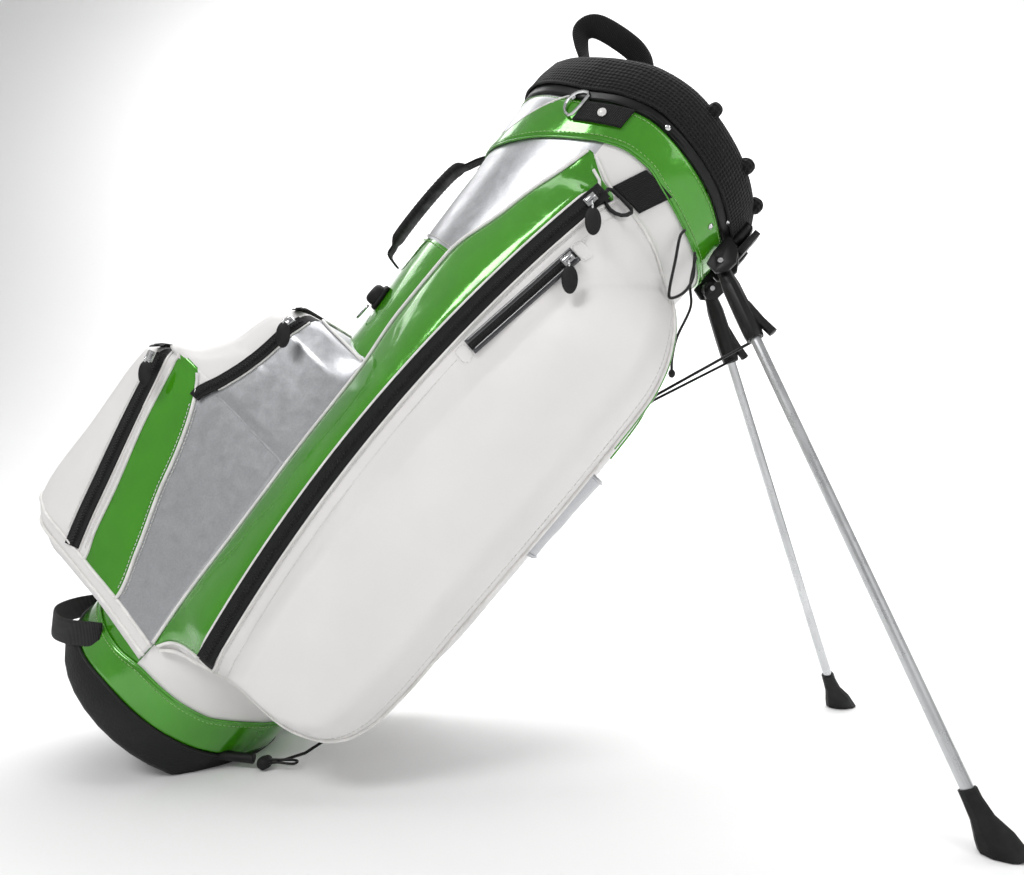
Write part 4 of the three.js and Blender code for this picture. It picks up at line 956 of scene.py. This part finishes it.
# A glossy lip on each side of it, and a stitched patch at each end
LIP = [[-2.6, -0.9], [2.6, -0.9], [2.8, 0.0], [2.1, 0.95], [0.7, 1.3], [-0.7, 1.3],
       [-2.1, 0.95], [-2.8, 0.0]]
PATCH_POINTS = 28
for i, (sign, end) in enumerate(((-1, path[0]), (1, path[-1]))):
    lip_path = path + across * sign * 5.6 + np.array([0, -0.2, 0])
    make(f"small_zip_lip_{i + 1}", tube(lip_path, section=LIP, up=(0, -1, 0)), "gloss")
    centre = end + along * 8 * sign
    flat_axes = np.array([across, along]) * [1, 0, 1]
    outline = centre + rounded(PATCH_POINTS, 10, 7.5, 0.5, 0.5) @ flat_axes
    y = np.minimum(face_y(outline[:, 0], outline[:, 2]), FACE_LIMIT)
    bottom, top = (np.stack([outline[:, 0], y + rise, outline[:, 2]], -1)
                   for rise in (0.6, -0.9))
    vertices = np.vstack([bottom, top])
    make(f"small_zip_end_patch_{i + 1}",
         (vertices, sweep_faces(2, PATCH_POINTS), vertices[:, [0, 2]]), "white",
         flat=True)
    thread_path = outline + (centre - outline) * 0.16
    thread_path[:, 1] = y - 1.0
    make(f"small_zip_end_stitching_{i + 1}",
         stitches(np.vstack([thread_path, thread_path[:1]]), [0, -1, 0.0], length=2.2, gap=1.3,
                  radius=0.35), "thread")

# ================================================================ ball and valuables pockets
# Spine-side face x at height z: (z, x)
ball_face = curve([[82, -206], [90, -234], [106, -251], [140, -259], [190, -264], [235, -270],
                   [285, -276], [297, -276], [306, -266], [318, -250], [330, -236]])
valuables_face = curve([[322, -246], [332, -236], [345, -216], [362, -201], [382, -189],
                        [405, -184], [428, -176], [447, -162], [455, -138], [460, -110]])
# Seam lines on the sides: (z, x)
panel_right = curve([[79, -79], [98, -79], [150, -98], [211, -126], [253, -142], [303, -168],
                     [340, -199]])
panel_left = curve([[80, -137], [95, -137], [130, -151], [174, -166], [249, -196], [328, -221]])
ball_zip_x = curve([[82, -150], [96, -157], [130, -171], [175, -187], [244, -213], [312, -238],
                    [330, -246]])
valuables_zip_x = curve([[300, -167], [307, -169], [338, -158], [372, -148], [407, -143],
                         [443, -141], [460, -141]])
BALL_LEVELS = rows([82, 88, 100, 140, 235, 285, 294, 309, 330], 4.2)
VALUABLES_LEVELS = rows([322, 332, 345, 362, 400, 428, 447, 455, 460], 3.6)
FAR = np.array([1, -1, 1])  # mirrors to the far side
SIDE_OUT = np.array([-0.16, -1, 0]) / np.linalg.norm([-0.16, -1, 0])
TOP_OUT = [-0.75, 0, 0.66]


def side_points(z):
    """(x, half width) stations from just off the sock towards the spine side."""
    edge_x = pocket_left(z) - 1.0
    narrowing = max(0, z - 425) * 0.5
    low = np.array([105.5, 101.5, 97.5, 91.0])
    high = np.array([98.0 - narrowing, 92.8 - narrowing, 89.5 - narrowing, 86.0])
    width = low + (high - low) * ease((z - 120) / 310)
    return [[edge_x, -sock_y(edge_x, z, 1.5) + 1.2],
            [-84, max(width[0], -sock_y(-84, z, 2.2))],
            [-115, max(width[1], -sock_y(-115, z, 2.2))],
            [-155, width[2]], [-205, width[3]]]


def half_ball(z):
    """Half outline of the ball pocket: (x, half width)."""
    face = ball_face(z)
    sides = [point for point in side_points(z) if point[0] > face + 40]
    width, last = 65 + (face + 290) * 0.3, sides[-1][1]
    return sides + [[face + 30, min(width + 8, last - 2)], [face + 11, min(width - 5, last - 12)],
                    [face + 1.5, width - 26], [face, (width - 26) * 0.45], [face, 0]]


def half_valuables(z):
    """Half outline of the valuables pocket: (x, half width)."""
    face = valuables_face(z)
    sides = [point for point in side_points(z) if point[0] > face + 36]
    width = 88.5 - max(0, z - 425) * 0.5
    return sides + [[face + 26, min(width - 1, sides[-1][1] - 2)], [face + 10, width - 9],
                    [face + 2, width - 22], [face, (width - 22) * 0.45], [face, 0]]


def pocket_rings(half_outline, levels, seams, counts, puffs):
    """Rings of a spine pocket; seams give x at z, and puffs pad each panel between them."""
    rings = []
    for z in levels:
        outline = resample([[x, y, 0] for x, y in half_outline(z)], 1.0)[:, :2]
        share = np.linspace(0, 1, len(outline))
        x = np.minimum.accumulate(outline[:, 0])
        cuts = [min(0.93 + 0.015 * i, float(np.interp(-seam(z), -x, share)))
                for i, seam in enumerate(seams)]
        cuts = [0.0] + cuts + [1.0]
        for i in range(1, len(cuts)):
            cuts[i] = max(cuts[i], cuts[i - 1] + 0.004)
        stops = [0.0]
        for i, count in enumerate(counts):
            stops += list(np.linspace(cuts[i], cuts[i + 1], count + 1)[1:])
        points = sample(stops, share, outline)
        step = np.gradient(points, axis=0)
        out = np.stack([-step[:, 1], step[:, 0]], -1)
        out /= np.linalg.norm(out, axis=1, keepdims=True) + 1e-9
        out *= np.where(out @ np.array([-0.6, 1.0]) < 0, -1, 1)[:, None]
        puff, first = np.zeros(len(points)), 0
        for count, height in zip(counts, puffs):
            panel = slice(first, first + count + 1)
            crown = height * (1 - (2 * np.linspace(0, 1, count + 1) - 1) ** 4)
            puff[panel] = np.maximum(puff[panel], crown)
            first += count
        spot = np.column_stack([points, np.full(len(points), z)])
        lumps = 0.8 * noise(spot, 64) + 0.3 * noise(spot + 9, 26)
        fade = ease((z - levels[0]) / 14) * ease((levels[-1] - z) / 14)
        points = points + out * ((puff * (1 + 0.4 * lumps) + 0.35 * lumps) * fade)[:, None]
        ring = np.vstack([points * [1, -1], points[-2::-1]])
        rings.append(np.column_stack([ring, np.full(len(ring), z)]))
    return np.array(rings).transpose(1, 0, 2)


def spine_pocket_skin(grid):
    """The loft with its uv, each face's strip counted from either side, and face centres."""
    vertices, faces, strip = closed_loft(grid)
    uv = np.stack([vertices[:, 0] + vertices[:, 1], vertices[:, 2]], -1)
    from_side = np.minimum(strip, len(grid) - 2 - strip)
    return (vertices, faces, uv), strip, from_side, face_centres(vertices, faces)


def both_sides(path, build):
    return [build(path), build(path * FAR)]


def pipe_pair(path, radius):
    return both_sides(path, lambda line: tube(resample(line, 3), radius))


# Ball pocket
counts = [14, 10, 2, 4, 44]
ball = pocket_rings(half_ball, BALL_LEVELS,
                    [panel_right, panel_left, lambda z: ball_zip_x(z) + 9.5,
                     lambda z: ball_zip_x(z) - 9.5], counts, [0, 1.2, 0.3, 0.2, 1.4])
skin, strip, from_side, centres = spine_pocket_skin(ball)
x, _, z = centres.T
ends = np.cumsum(counts)
behind_valuables = (z > 303) & (from_side < ends[0]) & (x < valuables_zip_x(z))
numbers = np.select([strip == len(ball) - 1, z < 100, behind_valuables,
                     *[from_side < end for end in ends[:4]]], [2, 0, 0, 2, 1, 0, 3], 0)
numbers[-2:] = 0  # caps
make("ball_pocket_skin", (*skin, numbers), "white green silver tape",
     "ball_pocket")
seam_right, seam_left, zip_1, zip_2 = (ball[end] for end in ends[:4])

pipes = []
covered = (BALL_LEVELS >= 98) & (BALL_LEVELS <= 326)
for line, radius, lift in ((seam_right, 1.955, 0.9), (seam_left, 1.84, 0.9), (zip_1, 1.38, 0.7)):
    pipes += pipe_pair(line[covered] + SIDE_OUT * lift, radius)
for level in (100, 88):
    ring = ball[:, int(np.argmin(np.abs(BALL_LEVELS - level))), :]
    out = ring - ring.mean(0)
    out[:, 2] = 0
    out /= np.linalg.norm(out, axis=1, keepdims=True)
    pipes.append(tube((ring + out * 0.9)[:-1], 1.8))
make("ball_pocket_piping", numbered(pipes), "piping")

threads = []
covered = (BALL_LEVELS > 104) & (BALL_LEVELS < 300)
for line, shift in ((seam_right, 5.0), (zip_2, -4.0), (seam_left, -4.5), (seam_right, -4.5)):
    path = line[covered] + np.array([shift, 0, 0]) + SIDE_OUT * (1.3 if shift > 0 else 1.0)
    for mirror in (1, FAR):
        threads.append(stitches(resample(path * mirror, 1), SIDE_OUT * mirror))
make("ball_pocket_stitching", numbered(threads), "thread")

# Its zip runs up the near side, over the top and down the far side
path = sample(np.linspace(100, 312, 60), BALL_LEVELS, (zip_1 + zip_2) / 2) + SIDE_OUT * 2.2
zipper("ball_zip_side", path, SIDE_OUT, width=19, replaces="ball_zip_tape")
zipper("ball_zip_far_side", path * FAR, SIDE_OUT * FAR, width=19)
y = np.linspace(-86, 86, 70)
path = np.stack([ball_face(312) + 1.5 + 16 * (np.abs(y) / 92) ** 6, y, 0 * y + 314.1], -1)
zipper("ball_zip_top", path, TOP_OUT, width=14)

# Valuables pocket
ZIP_FIRST, ZIP_LAST = 22, 27  # grid lines on either side of its zip
valuables = pocket_rings(half_valuables, VALUABLES_LEVELS,
                         [lambda z: valuables_zip_x(z) + 7.0, lambda z: valuables_zip_x(z) - 7.0],
                         [ZIP_FIRST, ZIP_LAST - ZIP_FIRST, 44], [1.6, 0.2, 1.5])
skin, _, from_side, _ = spine_pocket_skin(valuables)
numbers = np.select([from_side < ZIP_FIRST, from_side < ZIP_LAST], [2, 3], 0)
make("valuables_pocket_skin", (*skin, numbers), "white green silver tape",
     "valuables_pocket")

# Its zip starts on the ball pocket's side and crosses to its own
middle = (valuables[ZIP_FIRST] + valuables[ZIP_LAST]) / 2
path = []
for z in np.linspace(305, 444, 48):
    share = ease((z - 318) / 12)
    x = valuables_zip_x(z)
    outline = np.array(half_ball(min(z, 329)))[::-1]
    on_ball = np.array([x, -np.interp(x, outline[:, 0], outline[:, 1])])
    on_valuables = sample(max(z, 323), VALUABLES_LEVELS, middle)[:2]
    path.append([*(on_ball * (1 - share) + on_valuables * share), z])
path = np.array(path) + SIDE_OUT * 2.6
zipper("valuables_zip_side", path, SIDE_OUT, width=14, replaces="valuables_zip_tape")
zipper("valuables_zip_far_side", path * FAR, SIDE_OUT * FAR, width=14)
y = np.linspace(-80, 80, 70)
path = np.stack([valuables_face(446) - 0.5 + 15 * (np.abs(y) / 86) ** 5, y, 0 * y + 449], -1)
zipper("valuables_zip_top", path, TOP_OUT, width=13)

pipes = []
covered = (VALUABLES_LEVELS > 326) & (VALUABLES_LEVELS < 448)
for line in (ZIP_FIRST, ZIP_LAST):
    pipes += pipe_pair(valuables[line][covered] + SIDE_OUT * 0.8, 1.2)
ring = valuables[:, int(np.argmin(np.abs(VALUABLES_LEVELS - 455))), :]
pipes.append(tube(ring[1:-1] + [0, 0, 1.5], 1.7))
make("valuables_piping", numbered(pipes), "piping")

# ================================================================ straps, handles, pads
# Haul loop at the foot of the spine
path = resample([
    [-66, -104.5, 60], [-78, -102, 50], [-102, -92, 28], [-126, -74, 10], [-145, -44, -1],
    [-152, 0, -5], [-145, 44, -1], [-126, 74, 10], [-102, 92, 28], [-78, 102, 50],
    [-66, 104.5, 60]], 3)
make("haul_webbing", tube(path, section=rounded(20, 13, 1.2, 0.25, 0.6),
                          up=np.cross(tangents(path), [-0.62, 0, 0.78])),
     "web", "haul_loop")

# Carry handle: ribbed grip, thin ends and their patches on the spine
path = resample([[-152, 0, 704], [-160, 0, 690], [-162, 0, 660], [-161, 0, 620],
                 [-158, 0, 585], [-154, 0, 572]], 2.0)
share = np.linspace(0, 1, len(path))
taper = 0.45 + 0.55 * ease(share / 0.1) * ease((1 - share) / 0.1)
make("carry_grip_pad", tube(path, section=rounded(20, 12.5, 4.6, 0.5, 0.7), taper=taper,
                            up=(1, 0, 0)),
     "rubber", "carry_handle", body="carry_grip")
ribs = []
for point in path[8:-8:3]:
    y, x = rounded(20, 12.6, 4.7, 0.5, 0.7).T
    ribs.append(tube(np.stack([point[0] + x, y, 0 * y + point[2]], -1), 0.55, sides=5,
                     closed=True))
make("carry_grip_ribs", numbered(ribs), "rubber", body="carry_grip")
for tag, points in (
        ("top", [[-140.5, 0, 724], [-146, 0, 716], [-152, 0, 703], [-157, 0, 694]]),
        ("bottom", [[-157, 0, 582], [-154, 0, 573], [-151, 0, 562], [-136, 0, 558]])):
    make("carry_end_" + tag, tube(resample(points), section=rounded(20, 8.5, 1.3, 0.25, 0.6),
                                  up=(1, 0, 0)), "web", body="carry_grip")
for tag, middle, half in (("top", 716, 12), ("bottom", 546, 16)):
    angle, z = grid_of(np.linspace(math.pi - 0.13, math.pi + 0.13, 14),
                       np.linspace(middle - half, middle + half, 12))
    make("carry_anchor_patch_" + tag, sock_patch(angle, z, 3.4, 0.4), "nylon",
         "carry_anchor_" + tag)

# Slanting tab on the collar's near side
angle, rise = grid_of(np.linspace(-1.93, -1.60, 22), np.linspace(-11, 11, 12))
make("collar_tab", sock_patch(angle, 790 + (angle + 1.93) / 0.33 * 20 + rise, 6.0, 4.0),
     "web", "collar_strap_tab")
# Slanting webbing under the collar's near side
share, z = grid_of(np.linspace(-1, 1, 16), np.linspace(752, 786, 18))
make("side_webbing", sock_patch(-1.15 + 0.135 * share - (786 - z) * 0.003, z, 3.0, 1.0),
     "web", "side_strap_tab")
# Patch for the spine ring
RING_ANGLE = -math.pi + 0.42
angle, z = grid_of(np.linspace(RING_ANGLE - 0.15, RING_ANGLE + 0.15, 18),
                   np.linspace(503, 533, 10))
pad = 1 - edge_falloff(np.linspace(0, 1, 10), 0.12)[None, :] * 0.45
make("spine_ring_patch", sock_patch(angle, z, 0.9 + 3.7 * pad, 0.9), "rubber",
     "spine_strap_tab")

# Hip pad on the belly side, piped near its foot and top
PAD_FOOT, PAD_TOP = 414, 530
levels = rows([PAD_FOOT, 417, 424, 470, 520, 527, PAD_TOP], 5)
rings = []
for z in levels:
    narrow = 1.0 - 0.10 * (1 - ease(min(z - PAD_FOOT, PAD_TOP - z) / 9))
    corner = [[188, -29], [203, -26], [211, -15], [213 + 1.5 * narrow, 0], [211, 15], [203, 26],
              [188, 29]]
    outline = [[128.0, -29, 0]] + [[x, y * narrow, 0] for x, y in corner] + [[128.0, 29, 0]]
    ring = resample(outline, 2.2)
    ring[:, 2] = z
    ring[:, 0] += 0.8 * noise(ring, 22) * (ring[:, 0] > 150)
    rings.append(ring)
count = min(len(ring) for ring in rings)
rings = [ring[np.linspace(0, len(ring) - 1, count).round().astype(int)] for ring in rings]
grid = np.array(rings).transpose(1, 0, 2)
vertices, faces, _ = closed_loft(grid)
make("hip_cushion", (vertices, faces, vertices[:, 1:]), "silver", "hip_pad")
make("hip_cushion_piping", numbered([tube(grid[1:-1, i] + np.array([0.8, 0, 0]), 1.4)
                                     for i in (1, len(levels) - 2)]),
     "silver")

path = resample([[-50, 0, 846], [-51, 0, 868], [-54, 0, 888], [-58, 0, 899]], 2)
make("lift_strap_sleeve", tube(path, section=rounded(16, 8.2, 5.2), up=(1, 0, 0)), "mesh")

# Elastic cord by the near leg, with its tail and knob
path = resample([[131, -70, 768], [146, -71, 742], [162, -71, 724], [172, -70, 692],
                 [183, -70, 672], [192, -69, 661]], 1.5)
make("cord_tail", tube(path, 1.5, sides=10), "cord")
path = resample([[107, -91, 775], [108, -92, 766], [120, -88, 746], [134, -84, 722],
                 [141, -80, 716], [147, -76, 730], [144, -72, 748], [134, -70, 762],
                 [127, -69, 771]], 1.2)
make("cord_elastic", tube(path, 1.6, sides=10), "cord", "cord_loop")
knob = ellipsoid(np.array([193, -69, 660]), [[0.7, 0, -0.7], [0, 1, 0], [0.7, 0, 0.7]],
                 (4.5, 4, 3.6))
make("cord_knob", knob, "rubber")
mount = ellipsoid(on_sock(RING_ANGLE, 517, 5.5), radial_axes(RING_ANGLE), (8.5, 17, 12),
                  power=0.6)
make("spine_ring_mount", mount, "rubber")

# Wire link and knob beside each trigger foot
LINK = [[150, 70, 73], [158, 70, 82], [170, 70, 92], [173, 66, 95], [170, 62, 93],
        [157, 62, 81], [150, 62, 74], [148, 66, 71]]
for side, tag in SIDES:
    path = resample(np.array(LINK) * [1, side, 1], 2, closed=True)
    make("trigger_link_" + tag, tube(path, 1.3, closed=True), "wire",
         body="actuator")
    knob = ellipsoid(np.array([147.5, 66.5 * side, 70.2]),
                     [[0.7, 0, 0.7], [0, 1, 0], [-0.7, 0, 0.7]], (7.6, 8.5, 6.2), power=0.8)
    make("trigger_knob_" + tag, knob, "rubber", body="actuator")

# Rivets: profile as (share of radius, height), then (angle, z, offset, radius, look)
RIVET_PROFILE = [(1.05, -0.4), (1.05, 0.6), (0.95, 1.0), (0.66, 1.24), (0.62, 1.8), (0.4, 2.0),
                 (0.12, 2.12)]
RIVETS = [(-1.77, 800, 6.6, 4.3, "piping"), (-2.06, 800, 3.1, 3.1, "chrome"),
          (-1.36, 829, 5.0, 3.1, "chrome"), (-0.60, 801, 3.1, 3.1, "chrome"),
          (-0.50, 820, 5.0, 3.1, "chrome"), (1.36, 829, 5.0, 3.1, "chrome"),
          (0.62, 803, 3.1, 3.1, "chrome"), (0.62, 819, 4.2, 3.1, "chrome"),
          (2.06, 800, 3.1, 3.1, "chrome")]
for i, (angle, z, offset, radius, key) in enumerate(RIVETS):
    out = np.array([math.cos(angle), math.sin(angle), 0])
    across = np.cross(out, [0.3, 0.2, 1])
    across /= np.linalg.norm(across)
    ring = rounded(24, radius, radius) @ np.array([across, np.cross(out, across)])
    centre = on_sock(angle, z, offset)
    vertices = np.vstack([centre + out * height + ring * share
                          for share, height in RIVET_PROFILE])
    make(f"rivet_{i + 1}", (vertices, sweep_faces(len(RIVET_PROFILE), 24), vertices[:, :2]),
         key)

# Oval rubber zip pulls with a raised edge, each on a short wire; these are in row-frame metres
for node in ("main_zip_pull_near", "main_zip_pull_far", "small_zip_pull", "ball_zip_pull",
             "valuables_zip_pull"):
    low, high = (np.array(corner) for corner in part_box(node))
    x, y, _ = (low + high) / 2
    centre, top = np.array([x, y, low[2] + 0.0128]), np.array([x, y, high[2]])
    oval = ellipsoid(centre, np.eye(3), (0.0072, 0.0019, 0.0132), around=26, levels=16,
                     power=0.86)
    edge = centre + rounded(26, 0.0069, 0.0129) @ np.array([[1, 0, 0], [0, 0, 1]])
    wire = [top + [0, 0, -0.0015], top + [0, 0, -0.005], centre + [0, 0, 0.0122]]
    vertices, faces, _, numbers = numbered([
        oval, tube(edge, 0.0009, sides=6, closed=True, up=(0, 1, 0)),
        tube(wire, 0.0011, up=(0, 1, 0))], [0, 0, 1])
    make(node + "_oval", (vertices, faces, None, numbers), "rubber chrome", node,
         body=node.replace("zip_", ""), in_row=True)

# ================================================================ hard parts keep their CAD meshes
# The first key found in a node's name gives its look, and its bevel width in metres
PART_LOOKS = {
    "base_shell": "mould", "leg_tube": "alu", "leg_sleeve": "nylon", "leg_bracket": "nylon",
    "leg_pin": "chrome", "leg_foot": "rubber", "leg_wire": "wire", "actuator_rods": "wire",
    "actuator_coupler": "nylon", "trigger_foot": "rubber", "rod_guide": "web",
    "stay_rod": "nylon", "slider": "chrome", "pull": "rubber", "collar_ring": "chrome",
    "spine_ring": "chrome", "side_ring": "nylon"}
PART_BEVELS = {
    "base_shell": 0.0012, "leg_bracket": 0.0009, "leg_sleeve": 0.0007, "slider": 0.0005,
    "pull": 0.0009, "leg_foot": 0.0008, "actuator_coupler": 0.0008, "rod_guide": 0.0008,
    "trigger_foot": 0.0006}


def first_match(table, name):
    return next((value for key, value in table.items() if key in name), None)


for name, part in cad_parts.items():
    key = first_match(PART_LOOKS, name)
    if part.hide_render or key is None:
        continue
    mesh = part.data
    mesh.materials.clear()
    mesh.materials.append(LOOKS[key])
    mesh.polygons.foreach_set("use_smooth", np.ones(len(mesh.polygons), bool))
    mesh.set_sharp_from_angle(angle=math.radians(38))
    width = first_match(PART_BEVELS, name)
    if width:
        weld = part.modifiers.new("weld", "WELD")
        weld.merge_threshold = 2e-6
        bevel = part.modifiers.new("edge", "BEVEL")
        bevel.width = width
        bevel.segments = 2
        bevel.limit_method = "ANGLE"
        bevel.angle_limit = math.radians(35)

# ================================================================ camera, floor and light
scene = bpy.context.scene
yaw, pitch, roll = -0.113, -0.079, -0.017  # radians; yaw from +Y towards +X, pitch down
forward = Vector((math.sin(yaw) * math.cos(pitch), math.cos(yaw) * math.cos(pitch),
                  -math.sin(pitch)))
level_right = forward.cross(Vector((0, 0, 1))).normalized()
level_up = level_right.cross(forward)
right = level_right * math.cos(roll) + level_up * math.sin(roll)
up = -level_right * math.sin(roll) + level_up * math.cos(roll)
camera_data = bpy.data.cameras.new("camera")
camera = bpy.data.objects.new("camera", camera_data)
scene.collection.objects.link(camera)
camera.matrix_world = (Matrix.Translation((0.421673, -0.814814, 0.290497))
                       @ Matrix((right, up, -forward)).transposed().to_4x4())
camera_data.sensor_fit = "HORIZONTAL"
camera_data.sensor_width = 36
camera_data.lens = 25.227
camera_data.shift_x = -0.0044140625
camera_data.shift_y = -0.0053125
camera_data.clip_start = 0.01
scene.camera = camera

# One sheet: a floor that curves up into a backdrop, as (y, z) in metres
FLOOR_HALF, BEND, BEND_START = 14, 2.2, 1.9
profile = [(-6.0, 0.0)]
profile += [(BEND_START + BEND * math.sin(a), BEND - BEND * math.cos(a))
            for a in np.linspace(0, math.pi / 2, 16)]
profile += [(BEND_START + BEND, 9.0)]
mesh = bpy.data.meshes.new("floor")
mesh.from_pydata([(x, y, z - 0.0006) for y, z in profile for x in (-FLOOR_HALF, FLOOR_HALF)], [],
                 [[2 * i, 2 * i + 1, 2 * i + 3, 2 * i + 2] for i in range(len(profile) - 1)])
mesh.polygons.foreach_set("use_smooth", np.ones(len(mesh.polygons), bool))
floor = bpy.data.objects.new("floor", mesh)
scene.collection.objects.link(floor)
look = Look("floor", "floor_look", grey(0.87)[:3] + (1,), rough=0.75, spec=0.15)
look.bump(look.noise(3), strength=0.02, depth=0.001)
mesh.materials.append(LOOKS["floor"])

world = bpy.data.worlds.new("studio")
scene.world = world
world.use_nodes = True
background = world.node_tree.nodes["Background"].inputs
background["Color"].default_value = (1, 1, 1, 1)
background["Strength"].default_value = 0.42


def area(name, location, target, size, power, size_y=None):
    """An area light aimed at the target; size_y makes it a rectangle."""
    light = bpy.data.lights.new(name, "AREA")
    light.energy = power
    light.size = size
    if size_y:
        light.shape = "RECTANGLE"
        light.size_y = size_y
    lamp = bpy.data.objects.new(name, light)
    lamp.location = location
    aim = Vector(target) - Vector(location)
    lamp.rotation_euler = aim.to_track_quat("-Z", "Y").to_euler()
    scene.collection.objects.link(lamp)


area("key", (-0.9, -1.9, 2.4), target=(0.2, 0, 0.35), size=1.1, power=34, size_y=0.8)
area("fill", (2.3, -1.8, 1.3), target=(0.3, 0, 0.3), size=1.6, power=16)
area("top", (0.3, 0.4, 2.9), target=(0.3, 0, 0.3), size=2.2, power=30)
area("backdrop_glow", (0.3, 1.9, 3.4), target=(0.3, 4.2, 1.4), size=6.0, power=150, size_y=2.0)
area("backdrop_low", (0.3, 1.2, 2.6), target=(0.3, 2.4, 0.0), size=5.0, power=40, size_y=1.2)
scene.view_settings.view_transform = "Standard"

bpy.context.view_layer.update()
